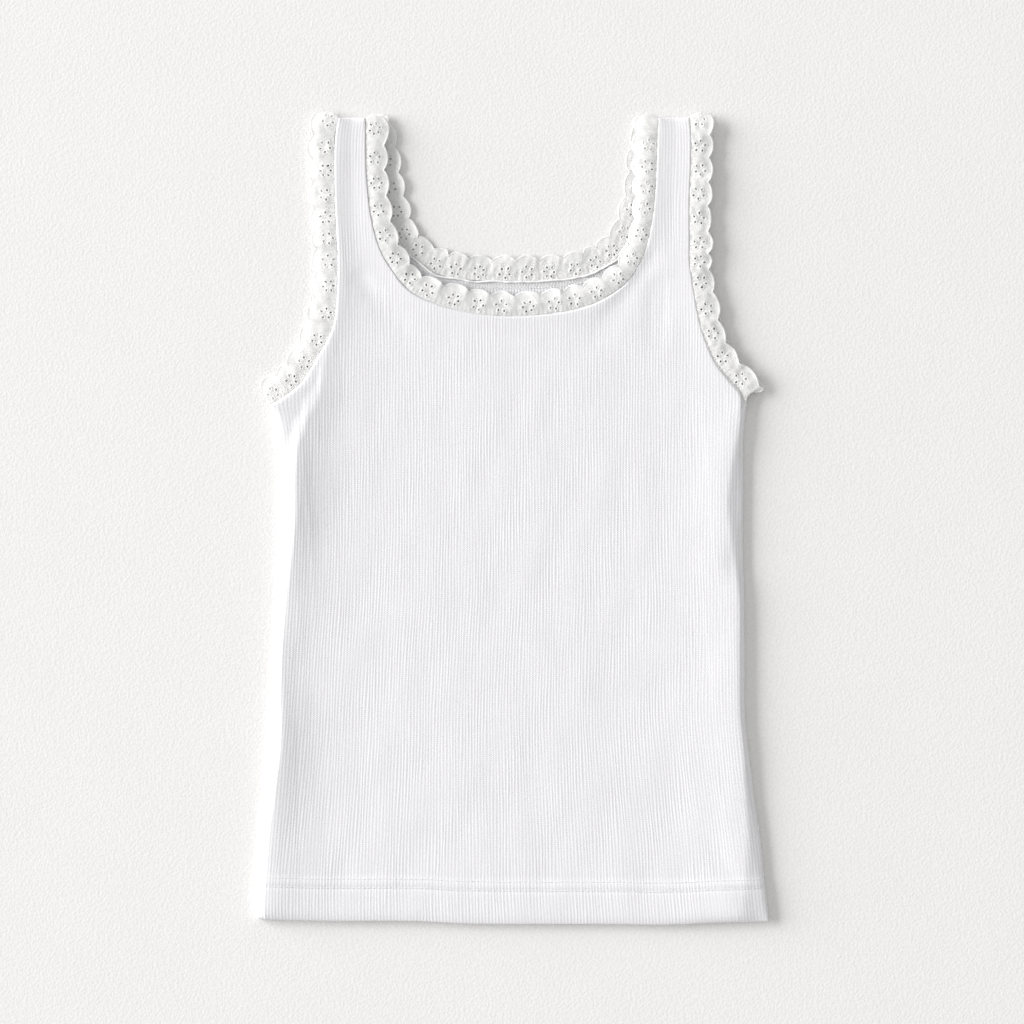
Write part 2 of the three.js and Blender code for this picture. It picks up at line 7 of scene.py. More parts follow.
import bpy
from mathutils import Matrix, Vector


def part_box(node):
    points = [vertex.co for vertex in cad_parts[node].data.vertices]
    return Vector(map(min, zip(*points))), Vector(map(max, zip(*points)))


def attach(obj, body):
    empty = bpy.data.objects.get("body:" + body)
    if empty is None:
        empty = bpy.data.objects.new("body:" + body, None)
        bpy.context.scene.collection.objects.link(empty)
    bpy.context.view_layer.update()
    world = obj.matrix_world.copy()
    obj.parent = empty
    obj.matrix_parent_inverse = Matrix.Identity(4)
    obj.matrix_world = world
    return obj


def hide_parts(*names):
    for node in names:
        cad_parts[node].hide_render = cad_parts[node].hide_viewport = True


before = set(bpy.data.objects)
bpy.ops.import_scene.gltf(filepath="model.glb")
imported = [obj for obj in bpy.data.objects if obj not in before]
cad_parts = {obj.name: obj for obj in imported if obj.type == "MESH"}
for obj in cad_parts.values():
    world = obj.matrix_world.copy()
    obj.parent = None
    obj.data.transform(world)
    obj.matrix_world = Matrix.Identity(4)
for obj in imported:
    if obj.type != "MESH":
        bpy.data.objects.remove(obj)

from types import SimpleNamespace

import bpy
import numpy as np
from mathutils import Vector

bl_info = {
    "name": "Rib-Knit Tank Top",
    "version": (1, 0, 0),
    "blender": (4, 5, 0),
    "location": "3D View > Sidebar > Tank Top",
    "description": "Builds a child's rib-knit tank top with eyelet lace, laid flat",
    "category": "Add Mesh",
}

MM = 0.001

# Cloth and hem
CLOTH = 1.2
SEAM_GAP = 0.3
LACE_GAP = 0.4
HALF_RIBS = 312
RIB_RISE = 0.45
EDGE_ROUND = 0.45
EDGE_INSET = 0.55
HEM_DEPTH = 20.5
HEM_STEP = 1.5
HEM_EXTRA = 0.5
HEM_STITCH_ROWS = (16.6, 21.2)
HEM_STITCH_DIP = 0.35
HEM_STITCH_SPREAD = 0.75
DRIFT_REACH = 2.5
SOFT_REACH = 6.0
FRONT_STEPS_PER_RIB = 6
BACK_STEPS_PER_RIB = 4
BACK_GROOVE = 0.3
BACK_INSIDE_GROOVE = 0.22
BACK_EDGE_ROUND = 0.3
BACK_EDGE_REACH = 0.8

# Body
SHOULDER_Y = 200.25
UNDERARM_Y = 56.25
CORNER_RISE = 21.25
CORNER_SPREAD = 0.08
CORNER_FLARE = (5.0, 1.7)
PUFF = 0.25
PUFF_REACH = 2
PUFF_SEAM_SHARE = 0.8
PUFF_SEAM_REACH = 8.0
FOLD_REACH = 0.8
SEWN_SHARE = 0.75
SEWN_REACH = 1.5
SEWN_EDGE_REACH = 2.0
SEWN_EDGE_FLATTER = 0.6
SEWN_EDGE_NARROWER = 0.65
FACET_GROWTH = 0.03
FACET_REACH = 14.0

# Lace
SCALLOP_DEPTH = 0.2
SWELL = 0.6
SWELL_LENGTH = 2.6
RUFFLE = 0.7
RUFFLE_START = 0.6
NECK_LIFT = 0.4
LACE_LIFT = 1.2
LACE_CROWN = 0.2
SEAM_RISE = 0.8
SEAM_FALL = 6.0
FRONT_REST = CLOTH + SEAM_GAP
LACE_REST = FRONT_REST + 0.1
FLOOR_CLEAR = 0.02

# Columns of points for each scallop of a strip, and rows across it
LACE_COLUMNS = 40
LACE_ROWS = 34

# A strip's edge: where its ends round off and lean, the small loops of its edge stitches, where each
# scallop steps down to the next, the gathers at the seam and the curl of the free edge
END_ROUND = 4.5
END_REACH = 5.0
PICOT = 0.24
PICOT_STEP = 0.95
STEP_PLACE = 0.84
GATHER = 0.07
GATHER_STEP = 2.3
EDGE_DROP = 0.1
LIP_REACH = 1.9

# Satin stitches: how far the middle of a rim lies from its eyelet, its width and rise, where a
# flower's stitches fade, how far, and their rise, and the same as for a rim for the scallops' band
RIM_PLACE = 0.22
RIM_WIDTH = 0.24
RIM_RISE = 0.15
FLOWER_START = 0.3
FLOWER_FADE = 0.55
FLOWER_RISE = 0.08
BAND_PLACE = 0.35
BAND_WIDTH = 0.38
BAND_RISE = 0.26
BEAD_STEP = 0.75

# Turned edges: radius and height of the sides' and shoulders', then of the hem's
TURNED_EDGE = (0.95, 1.3)
TURNED_HEM = (0.62, 2.15)
SHOULDERS = ((-86.4, -74.4), (73.7, 87.6))

# Rows of stitches: step, length, radius and bow of a stitch
HEM_STITCH = (2.6, 1.9, 0.15, 0.12)
CHAIN_STITCH = (1.5, 1.2, 0.14, 0.08)

# Overlocked edge inside the back neck: how far in, height, swing, step and radius of its thread
OVERLOCK_INSET = -2.0
OVERLOCK_HEIGHT = 1.12
OVERLOCK_SWING = 1.1
OVERLOCK_STEP = 1.5
OVERLOCK_RADIUS = 0.1
OVERLOCK_END = 58

# Finishes: length of a knit stitch and step of the lace's weave
KNIT_STITCH = 1.05
WEAVE_STEP = 0.42

# Stage: the floor and the point that the camera looks at in mm, and the window, its power in watts,
# and the camera's height in metres
FLOOR_HALF = 4000.0
FLOOR_HEIGHT = -0.3
WINDOW_WIDTH = 9.5
WINDOW_HEIGHT = 6.5
WINDOW_PLACE = (-11.6, 3.2, 3.6)
WINDOW_POWER = 2850.0
SKY_STRENGTH = 0.555
LENS = 112.5
CAMERA_AIM = (-0.375, 3.25)
CAMERA_HEIGHT = 1.603

# Rib lines where each strap starts and ends, in half ribs from the left side
LEFT_STRAP = (38, 78)
RIGHT_STRAP = (234, 276)

# Side edges of the body: y, left x, right x
SIDES = np.array([
    (-201, -127.9, 127.8), (-181, -127.5, 125.6), (-161, -125.9, 123.6), (-141, -123.9, 120.6),
    (-121, -121.9, 118.1), (-100, -120.4, 115.9), (-70, -118.9, 115.6), (-41, -116.9, 115.4),
    (-12, -115.9, 114.7), (12, -115.9, 114.9),
])

# Hem edge: x, y
HEM = np.array([
    (-128, -200.2), (-95, -201.2), (-50, -201.3), (-20, -202.6),
    (50, -202.8), (75, -203.2), (100, -202.2), (128, -201.3),
])

# Seams that carry lace: x, y, count of scallops so far, reach of the lace
LEFT_ARMHOLE = np.array([
    (-86.9, 200.4, 0.15, 13.6), (-88.6, 190.2, 1.07, 13.8), (-88.9, 176.8, 2.22, 13.7),
    (-88.6, 156.8, 3.9, 12.9), (-87.4, 134.2, 6.1, 12.7), (-87.4, 114.2, 7.66, 13.6),
    (-88.7, 99.2, 8.69, 14.6), (-92.2, 89.2, 9.29, 14.6), (-97.1, 80.8, 10.01, 13.8),
    (-104.2, 69.2, 11.1, 13.5), (-111.4, 62.5, 11.93, 13.4), (-120.9, 56.25, 12.94, 13.2),
])
RIGHT_ARMHOLE = np.array([
    (88.1, 200.4, 0.15, 12.2), (88.9, 191.8, 0.94, 11.6), (88.8, 176.8, 2.29, 11.2),
    (88.1, 159.2, 3.78, 11.2), (88.2, 139.2, 5.38, 11.3), (88.2, 128.2, 6.47, 10.8),
    (90.1, 114.2, 7.79, 11.6), (92.9, 99.2, 8.85, 11.2), (95.9, 89.2, 9.63, 11.0),
    (100.4, 78.8, 10.44, 11.4), (107.1, 69.8, 11.16, 11.8), (112.8, 63.2, 11.85, 12.6),
    (116.6, 56.25, 12.43, 12.8),
])
FRONT_NECK = np.array([
    (-73.9, 200.25, 0.04, 11.4), (-73.8, 184.2, 1.16, 11.4), (-73.3, 169.2, 2.31, 11.4),
    (-70.9, 149.2, 3.85, 11.3), (-66.4, 133.8, 4.98, 11.4), (-59.4, 122.2, 5.95, 11.2),
    (-51.4, 113.5, 6.9, 10.8), (-40.4, 107.9, 7.78, 11.4), (-23.4, 103.0, 9.01, 12.8),
    (-3.9, 100.8, 10.68, 12.6), (16.1, 101.8, 12.07, 12.4), (33.6, 104.8, 13.65, 12.4),
    (46.1, 109.8, 14.66, 12.0), (57.1, 117.8, 15.62, 11.2), (63.6, 127.2, 16.48, 10.6),
    (68.1, 138.8, 17.33, 10.4), (70.9, 154.2, 18.47, 11.0), (72.1, 169.2, 19.91, 11.8),
    (72.6, 184.2, 21.29, 12.2), (73.2, 200.25, 22.78, 12.4),
])
BACK_NECK = np.array([
    (-72.6, 200.25, 0.7, 12.4), (-71.9, 193.0, 1.28, 12.6), (-69.3, 184.2, 1.97, 12.8),
    (-66.9, 171.8, 2.96, 12.1), (-64.4, 159.2, 3.96, 11.6), (-60.9, 146.8, 4.98, 11.2),
    (-54.9, 135.2, 5.99, 11.4), (-47.4, 128.2, 6.82, 12.3), (-37.9, 122.0, 7.76, 13.0),
    (-23.9, 119.2, 8.88, 13.2), (-3.9, 118.5, 10.5, 12.9), (18.6, 119.0, 12.5, 12.8),
    (33.6, 121.0, 13.62, 13.0), (43.6, 124.2, 14.5, 12.8), (52.1, 130.2, 15.4, 12.4),
    (59.6, 140.2, 16.4, 11.4), (64.1, 151.8, 17.4, 11.2), (67.1, 164.2, 18.4, 11.4),
    (69.1, 179.2, 19.6, 11.8), (71.0, 191.0, 20.56, 12.0), (71.8, 200.25, 21.3, 12.0),
])

# Rolled seam edges: seam, how far to one side, height, wobble and radius of the cord
SEAM_CORDS = (
    (FRONT_NECK, 0.1, 3.22, 0.08, 0.42), (LEFT_ARMHOLE, -0.05, 3.15, 0.08, 0.32),
    (RIGHT_ARMHOLE, 0.15, 3.28, 0.08, 0.42), (BACK_NECK, -0.1, 1.35, 0.5, 0.55),
    (LEFT_ARMHOLE, -0.12, 0.55, 0.05, 0.3), (RIGHT_ARMHOLE, 0.12, 0.55, 0.05, 0.3),
)

# Folds of the front: x0, y0, x1, y1, width, height of a soft ridge or trough
FOLDS = np.array([
    (-76.4, 119.0, -56.4, 97.0, 4.5, -0.4), (68.6, 130.0, 43.6, 94.0, 5.0, -0.5),
    (72.6, 114.0, 72.2, 92.0, 6.0, -0.4), (110.6, -18.0, 110.6, -24.0, 5.0, -0.6),
    (-83.9, -172.0, -83.9, -180.0, 6.0, -0.2), (101.1, -166.0, 124.6, -201.0, 6.0, -0.3),
])

# Rolls along both sides: crest x, y, height, width of the outer slope, fall of the inner slope, how
# blunt the crest is, and the share of its height that the cloth outside it keeps. The left one
# leaves the side below the underarm, runs up to the armhole as a sharp ridge and fades along the
# strap's seam.
LEFT_ROLL = np.array([
    (-124.0, -197.0, 1.2, 2.6, 10.0, 1.2, 0.0), (-123.0, -180.0, 1.2, 2.6, 10.0, 1.2, 0.0),
    (-120.8, -156.0, 1.5, 2.9, 8.0, 1.0, 0.0), (-118.6, -140.0, 2.0, 3.6, 6.5, 0.9, 0.0),
    (-115.2, -116.0, 2.7, 4.8, 6.0, 0.9, 0.0),
    (-115.8, -76.0, 1.5, 2.6, 5.5, 0.8, 0.0), (-112.4, -40.0, 1.5, 3.6, 8.0, 0.8, 0.0),
    (-108.4, 0.0, 2.8, 4.9, 5.6, 0.85, 0.0), (-108.3, 26.0, 2.9, 4.1, 6.4, 0.85, 0.0),
    (-107.6, 36.0, 2.7, 2.4, 7.0, 0.8, 0.2), (-106.9, 42.2, 2.5, 1.2, 7.5, 0.7, 0.4),
    (-104.2, 49.1, 2.3, 0.9, 7.5, 0.6, 0.55), (-101.9, 54.8, 2.2, 0.7, 7.5, 0.6, 0.62),
    (-96.9, 63.3, 1.9, 0.6, 7.5, 0.6, 0.68), (-94.6, 72.8, 1.4, 1.6, 7.5, 0.6, 0.75),
    (-92.8, 84.0, 0.9, 2.5, 6.5, 0.6, 0.9), (-89.3, 97.0, 0.8, 2.0, 5.0, 0.6, 0.6),
    (-87.6, 112.0, 0.8, 1.0, 4.5, 0.7, 0.0), (-87.4, 134.0, 0.5, 1.0, 3.6, 1.0, 0.0),
    (-88.6, 157.0, 0.5, 1.0, 3.6, 1.0, 0.0), (-88.9, 177.0, 0.5, 1.0, 3.8, 1.0, 0.0),
    (-87.0, 200.0, 0.5, 1.0, 4.0, 1.0, 0.0),
])
RIGHT_ROLL = np.array([
    (113.5, -197.0, 1.5, 9.0, 14.0, 1.0, 0.0), (116.5, -156.0, 1.3, 5.0, 11.0, 1.0, 0.0),
    (115.2, -116.0, 1.5, 2.0, 11.0, 1.0, 0.0), (114.0, -76.0, 1.6, 1.8, 11.0, 1.0, 0.0),
    (113.4, -40.0, 1.4, 2.0, 10.0, 1.0, 0.0), (105.5, 6.0, 1.5, 5.5, 8.0, 1.0, 0.0),
    (108.5, 26.0, 1.5, 4.5, 9.5, 1.0, 0.0), (113.2, 44.0, 1.5, 2.0, 11.0, 1.0, 0.0),
    (113.6, 54.0, 1.2, 2.0, 11.0, 1.0, 0.0),
])


def follow(table, column):
    """A smooth curve through one column of a table: a cubic between rows whose slope at a row is that
    between its neighbours, level past both ends."""
    key, value = table[:, 0], table[:, column]
    before, after = np.r_[0, 0:len(key) - 1], np.r_[1:len(key), len(key) - 1]
    slope = (value[after] - value[before]) / (key[after] - key[before])

    def at(where):
        i = np.clip(np.searchsorted(key, where, side="right") - 1, 0, len(key) - 2)
        span = key[i + 1] - key[i]
        t = (where - key[i]) / span
        blend = value[i] + (value[i + 1] - value[i]) * t * t * (3 - 2 * t)
        curve = blend + t * (1 - t) * span * ((1 - t) * slope[i] - t * slope[i + 1])
        return np.where(where < key[0], value[0], np.where(where >= key[-1], value[-1], curve))

    return at


def seam_at(stations, at):
    """Points and directions on the curve through the stations. Between two stations it is the cubic
    whose slope at a station is half the step between its neighbours; at is the station number."""
    xy = stations[:, :2]
    i = np.clip(np.floor(at).astype(int), 0, len(xy) - 2)
    t = (at - i)[:, None]
    a, b = xy[np.maximum(i - 1, 0)], xy[i]
    c, d = xy[i + 1], xy[np.minimum(i + 2, len(xy) - 1)]
    u, v = (c - a) / 2, (d - b) / 2
    p, q = 2 * b - 2 * c + u + v, -3 * b + 3 * c - 2 * u - v
    point = ((p * t + q) * t + u) * t + b
    run = (3 * p * t + 2 * q) * t + u
    return point, run / np.linalg.norm(run, axis=1, keepdims=True)


def polyline(stations, steps=12):
    """The seam as many short straight steps."""
    return seam_at(stations, np.linspace(0, len(stations) - 1, steps * (len(stations) - 1) + 1))[0]


side_left, side_right = follow(SIDES, 1), follow(SIDES, 2)
hem_y = follow(HEM, 1)
LEFT_LINE, RIGHT_LINE = polyline(LEFT_ARMHOLE), polyline(RIGHT_ARMHOLE)


def rib_x(u, y):
    """A rib's line: the share u of the way from the left side to the right, spread outwards near the
    underarm corners by the square of the rise above the corner's foot."""
    rise = np.clip(1 - (UNDERARM_Y - y) / CORNER_RISE, 0, 1) ** 2
    left = rise * CORNER_FLARE[0] * np.maximum(0, 1 - u / CORNER_SPREAD) ** 2
    right = rise * CORNER_FLARE[1] * np.maximum(0, 1 - (1 - u) / CORNER_SPREAD) ** 2
    return side_left(y) + (side_right(y) - side_left(y)) * u - left + right


def strap_x(outer, inner, line):
    """A rib on a strap leans with the armhole seam beside it, less and less towards the neck."""
    def at(u, y):
        lean = np.interp(y, line[::-1, 1], line[::-1, 0]) - rib_x(outer / HALF_RIBS, y)
        return rib_x(u, y) + lean * (inner / HALF_RIBS - u) / ((inner - outer) / HALF_RIBS)
    return at


left_strap_x = strap_x(LEFT_STRAP[0], LEFT_STRAP[1], LEFT_LINE)
right_strap_x = strap_x(RIGHT_STRAP[1], RIGHT_STRAP[0], RIGHT_LINE)


def height_at(line, x, missing):
    """The height at which a line crosses each x, at the crossing nearest the line's end."""
    a, b = line[:-1], line[1:]
    with np.errstate(divide="ignore", invalid="ignore"):
        t = (x[:, None] - a[:, 0]) / (b[:, 0] - a[:, 0])
    hit = (t >= 0) & (t <= 1)
    last = hit.shape[1] - 1 - np.argmax(hit[:, ::-1], axis=1)
    rows = np.arange(len(x))
    y = a[last, 1] + (b[last, 1] - a[last, 1]) * np.where(hit, t, 0)[rows, last]
    return np.where(hit.any(axis=1), y, missing)


def meet(u, line, line_x, missing):
    """The height at which each rib meets a seam, found by halving."""
    low, high = np.zeros_like(u), np.full_like(u, SHOULDER_Y)
    for _ in range(30):
        y = (low + high) / 2
        below = height_at(line, line_x(u, y), missing) > y
        low, high = np.where(below, y, low), np.where(below, high, y)
    return high


def block_top(half, neck_line):
    """The top of the body on each rib: the underarm seam, the root of a strap or the neckline. The
    root runs straight from the underarm seam to the neckline."""
    u = half / HALF_RIBS
    top = np.where(
        half <= LEFT_STRAP[0], meet(u, LEFT_LINE, rib_x, UNDERARM_Y),
        np.where(half >= RIGHT_STRAP[1], meet(u, RIGHT_LINE, rib_x, UNDERARM_Y),
                 meet(u, neck_line, rib_x, SHOULDER_Y)),
    )
    for first, last in (LEFT_STRAP, RIGHT_STRAP):
        inside = (half > first) & (half < last)
        ends = np.interp([first, last], half, top)
        top = np.where(inside, np.interp(half, [first, last], ends), top)
    return top


def panel_grid(neck_line, per_rib, hem_rows, body_rows, strap_rows):
    """Flat points of a panel on its rib lines, as grids of point numbers: the body block, and a grid
    for each strap whose neck side narrows to one point. Returns the points' rib counts in half ribs,
    their x and y, and the three grids."""
    half = np.arange(0, HALF_RIBS * per_rib // 2 + 1) * (2 / per_rib)
    u = half / HALF_RIBS
    hem = hem_y(rib_x(u, SIDES[0, 0]))
    band = hem + HEM_DEPTH
    top = block_top(half, neck_line)
    heights = np.concatenate([
        hem + (band - hem) * hem_rows[:, None],
        band + HEM_STEP + (top - band - HEM_STEP) * body_rows[:, None],
    ]).T
    columns, rows = heights.shape
    block = np.arange(columns * rows).reshape(columns, rows)
    halves = [np.repeat(half, rows)]
    xs = [rib_x(u[:, None], heights).ravel()]
    ys = [heights.ravel()]
    grids = [block]
    count = block.size
    for (first, last), line_x, neck_side in (
        (LEFT_STRAP, left_strap_x, -1), (RIGHT_STRAP, right_strap_x, 0),
    ):
        across = np.flatnonzero((half >= first) & (half <= last))
        root = top[across]
        end = meet(u[across], neck_line, line_x, SHOULDER_Y)
        y = root[:, None] + (end - root)[:, None] * strap_rows[1:]
        grid = np.empty((len(across), len(strap_rows)), int)
        grid[:, 0] = block[across, -1]
        grid[:, 1:] = count + np.arange(y.size).reshape(y.shape)
        grid[neck_side, 1:] = grid[neck_side, 0]
        count += y.size
        halves.append(np.repeat(half[across], y.shape[1]))
        xs.append(line_x(u[across][:, None], y).ravel())
        ys.append(y.ravel())
        grids.append(grid)
    return np.concatenate(halves), np.concatenate(xs), np.concatenate(ys), grids


def grid_faces(grid):
    """Quads of a grid of point numbers, anticlockwise from above."""
    return np.stack([grid[:-1, :-1], grid[1:, :-1], grid[1:, 1:], grid[:-1, 1:]], axis=-1).reshape(-1, 4)


def tidy_faces(quads, triangles):
    """Turns quads that have two corners in one point into triangles, and drops flat triangles."""
    folded = [quads[:, i] == quads[:, (i + 1) % 4] for i in range(4)]
    whole = ~np.any(folded, axis=0)
    once = np.sum(folded, axis=0) == 1
    extra = [np.delete(quads[f & once], i, axis=1) for i, f in enumerate(folded)]
    triangles = np.concatenate([triangles, *extra])
    a, b, c = triangles.T
    return quads[whole], triangles[(a != b) & (b != c) & (c != a)]


def coarse_faces(grid, step, fine_bottom):
    """Faces of the same grid with only every step-th rib line, and fans of triangles where its bottom
    and top rows are edges that keep all their points."""
    left, right = grid[:-1:step], grid[step::step]
    first = 1 if fine_bottom else 0
    low, high = slice(first, -2), slice(first + 1, -1)
    quads = np.stack([left[:, low], right[:, low], right[:, high], left[:, high]], axis=-1)
    triangles = []
    rows = [(-1, -2, True)] + ([(0, 1, False)] if fine_bottom else [])
    for edge, inner, is_top in rows:
        fine = np.stack([grid[i:len(grid) - step + i:step, edge] for i in range(step + 1)], axis=1)
        apexes = left[:, inner], right[:, inner]
        for i in range(step):
            apex = apexes[0] if i < step // 2 else apexes[1]
            pair = (fine[:, i + 1], fine[:, i]) if is_top else (fine[:, i], fine[:, i + 1])
            triangles.append(np.stack([*pair, apex], axis=1))
        middle = (apexes[0], apexes[1]) if is_top else (apexes[1], apexes[0])
        triangles.append(np.stack([*middle, fine[:, step // 2]], axis=1))
    return quads.reshape(-1, 4), np.concatenate(triangles)


def edge_pairs(quads, triangles):
    """Directed edges that only one face has."""
    sides = [quads[:, [i, (i + 1) % 4]] for i in range(4)]
    sides += [triangles[:, [i, (i + 1) % 3]] for i in range(3)]
    sides = np.concatenate(sides)
    size = int(sides.max()) + 1
    forward = sides[:, 0] * size + sides[:, 1]
    back = sides[:, 1] * size + sides[:, 0]
    return sides[~np.isin(forward, back)]


def edge_distance(xy, edge):
    """Distance of each flat point from the nearest of an outline's steps."""
    a, b = edge[:, 0], edge[:, 1]
    along = b - a
    squared = np.maximum((along ** 2).sum(axis=1), 1e-9)
    nearest = np.full(len(xy), 1e9)
    for start in range(0, len(xy), 4000):
        part = xy[start:start + 4000]
        away = part[:, None] - a
        t = np.clip((away * along).sum(axis=2) / squared, 0, 1)
        gap = away - t[..., None] * along
        nearest[start:start + 4000] = np.sqrt((gap ** 2).sum(axis=2).min(axis=1))
    return nearest


def fold_rise(x, y):
    """Rise of the folds: each adds its height times e to the minus square of the distance from its
    line in widths."""
    rise = np.zeros_like(x)
    for x0, y0, x1, y1, width, height in FOLDS:
        along = ((x - x0) * (x1 - x0) + (y - y0) * (y1 - y0)) / ((x1 - x0) ** 2 + (y1 - y0) ** 2)
        t = np.clip(along, 0, 1)
        away = np.hypot(x - x0 - t * (x1 - x0), y - y0 - t * (y1 - y0))
        rise += height * np.exp(-(away / width) ** 2)
    return rise


def roll_rise(x, y, roll, inner):
    """Rise of a side roll. At a distance s from the crest line the outer slope is e to the minus
    square of s in widths, down to the share that is kept, which grows a little with s. The inner one
    is (1 + bluntness times s) times e to the minus s in falls. inner is 1 where the middle of the
    garment lies to the right of the crest's run."""
    best = np.full(x.shape, 1e9)
    away = np.zeros(x.shape)
    height, width, fall, blunt, kept = (np.zeros(x.shape) for _ in range(5))
    for start, end in zip(roll[:-1], roll[1:]):
        step = end[:2] - start[:2]
        t = np.clip(((x - start[0]) * step[0] + (y - start[1]) * step[1]) / (step @ step), 0, 1)
        dx, dy = x - start[0] - t * step[0], y - start[1] - t * step[1]
        far = np.hypot(dx, dy)
        nearer = far < best
        best = np.where(nearer, far, best)
        away = np.where(nearer, np.sign(dx * step[1] - dy * step[0]) * far, away)
        sizes = start[2:, None] + (end - start)[2:, None] * t.ravel()
        height, width, fall, blunt, kept = (
            np.where(nearer, new.reshape(x.shape), old)
            for new, old in zip(sizes, (height, width, fall, blunt, kept)))
    s = away * inner
    inside = height * (1 + blunt * np.abs(s) / fall) * np.exp(-np.abs(s) / fall)
    facet = kept * (1 + FACET_GROWTH * np.minimum(np.abs(s), FACET_REACH))
    outside = height * (facet + (1 - facet) * np.exp(-(s / width) ** 2))
    return np.where(s > 0, inside, outside)


def front_underside(x, y, edge, seam):
    """The front rests on the back at its edges and puffs up between them by 1 minus e to the minus
    distance, with its side rolls and its folds fading towards the edge, at a seam only by a
    quarter. Turned seams hold it up along the lace by e to the minus distance from them."""
    sewn_down = 1 - PUFF_SEAM_SHARE * np.exp(-seam / PUFF_SEAM_REACH)
    puff = PUFF * (1 - np.exp(-edge / PUFF_REACH)) * sewn_down
    rolls = roll_rise(x, y, LEFT_ROLL, 1) + roll_rise(x, y, RIGHT_ROLL, -1)
    sewn = SEWN_SHARE * np.exp(-seam / SEWN_REACH)
    fade = np.exp(-edge / (FOLD_REACH * (1 - sewn))) * (1 - sewn)
    folds = (fold_rise(x, y) + rolls) * (1 - fade)
    return FRONT_REST + np.maximum(0, puff + folds + SEAM_RISE * np.exp(-seam / SEAM_FALL))


def seam_distance(xy, neck_line):
    """Distance of each flat point from the nearest seam that carries lace."""
    lines = [LEFT_LINE, RIGHT_LINE, neck_line]
    return edge_distance(xy, np.concatenate([np.stack([a[:-1:3], a[3::3]], axis=1) for a in lines]))


def length_along(path):
    """Length along a path up to each of its points."""
    return np.concatenate([[0], np.cumsum(np.linalg.norm(np.diff(path, axis=0), axis=1))])


def waves(x, y, seed, length, count=7):
    """Soft unevenness from -1 to 1: a mean of sine waves in seeded directions of about one length."""
    random = np.random.default_rng(seed)
    turn, start = random.uniform(0, 2 * np.pi, (2, count))
    pace = 2 * np.pi / (length * random.uniform(0.7, 1.5, count))
    total = sum(np.sin(k * (x * np.cos(a) + y * np.sin(a)) + s) for k, a, s in zip(pace, turn, start))
    return total / np.sqrt(count) / 1.6


def rib_wander(half, y):
    """Sideways drift of the ribs in mm: sine waves along each rib that differ from rib to rib, so
    that ribs pinch together and part."""
    rib = half / 2
    slow = np.sin(y / 13.0 + 1.7 * np.sin(rib * 0.61) + rib * 0.23)
    quick = np.sin(y / 5.3 + 2.9 * np.sin(rib * 1.37 + 0.8))
    return 0.24 * slow + 0.1 * quick


def rib_profile(half, y):
    """Height of the ribs from 0 in a groove to 1 on a crest: a raised cosine across the rib, a little
    uneven along it."""
    crest = 0.5 - 0.5 * np.cos(np.pi * half)
    rib = np.floor(half / 2)
    uneven = 0.2 * np.sin(y / 7.3 + 2.3 * rib) + 0.06 * np.sin(y / 2.9 + 5.1 * rib)
    return crest ** 0.85 * (1 + uneven)


def rib_strength(x, y):
    """How strongly the ribs stand out: soft waves over the cloth, fainter on the stretched straps and
    along the right side."""
    strap = np.clip((y - 90) / 40, 0, 1)
    side = np.clip((x - 85) / 25, 0, 1)
    return (0.95 + 0.5 * waves(x, y * 0.45, 8, 17)) * (1 - 0.3 * strap) * (1 - 0.3 * side)


def closed_shell(over, under, top_faces, bottom_faces):
    """One closed shell: the upper faces, the lower faces turned over, and a wall along each open edge.
    Both layers have the same point numbers. Unused points are dropped."""
    count = len(over)
    quads, triangles = tidy_faces(*top_faces)
    low_quads, low_triangles = tidy_faces(*bottom_faces)
    a, b = edge_pairs(quads, triangles).T
    walls = np.stack([b, a, a + count, b + count], axis=1)
    quads = np.concatenate([quads, low_quads[:, ::-1] + count, walls])
    triangles = np.concatenate([triangles, low_triangles[:, ::-1] + count])
    used = np.unique(np.concatenate([quads.ravel(), triangles.ravel()]))
    number = np.zeros(2 * count, int)
    number[used] = np.arange(len(used))
    return np.concatenate([over, under])[used], number[quads], number[triangles], used % count


def sized(word):
    """A size from the sidebar, in mm."""
    return getattr(bpy.context.scene.tank_top_sizes, word) / MM


def coloured(word):
    """A colour from the sidebar."""
    return tuple(getattr(bpy.context.scene.tank_top_colours, word))


def add_mesh(name, points, quads, triangles, cloth_map=None, marks=None):
    """Puts points in mm, quads and triangles into a mesh object at the origin, with the cloth map as
    its UVs and each mark as a value on its points."""
    mesh = bpy.data.meshes.new(name)
    mesh.vertices.add(len(points))
    mesh.vertices.foreach_set("co", ((points + SHIFT) * MM).astype(np.float32).ravel())
    corners = np.concatenate([quads.ravel(), triangles.ravel()]).astype(np.int32)
    sizes = np.concatenate([np.full(len(quads), 4), np.full(len(triangles), 3)])
    mesh.loops.add(len(corners))
    mesh.loops.foreach_set("vertex_index", corners)
    mesh.polygons.add(len(sizes))
    starts = np.concatenate([[0], np.cumsum(sizes)[:-1]])
    mesh.polygons.foreach_set("loop_start", starts.astype(np.int32))
    mesh.polygons.foreach_set("use_smooth", np.ones(len(sizes), bool))
    mesh.update(calc_edges=True)
    if cloth_map is not None:
        layer = mesh.uv_layers.new(name="cloth")
        layer.data.foreach_set("uv", cloth_map[corners].astype(np.float32).ravel())
    for word, values in (marks or {}).items():
        mark = mesh.attributes.new(word, "FLOAT", "POINT")
        mark.data.foreach_set("value", values.astype(np.float32))
    if mesh.validate(verbose=False):
        raise RuntimeError(f"{name}: its mesh has a broken face")
    piece = bpy.data.objects.new(name, mesh)
    bpy.context.scene.collection.objects.link(piece)
    return piece


def dress(piece, material, slot, *nodes):
    """Gives a piece its material and body, and the solids that it stands for. The slot is not used."""
    piece.data.materials.clear()
    piece.data.materials.append(material)
    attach(piece, "root")
    if nodes:
        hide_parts(*nodes)
    return piece


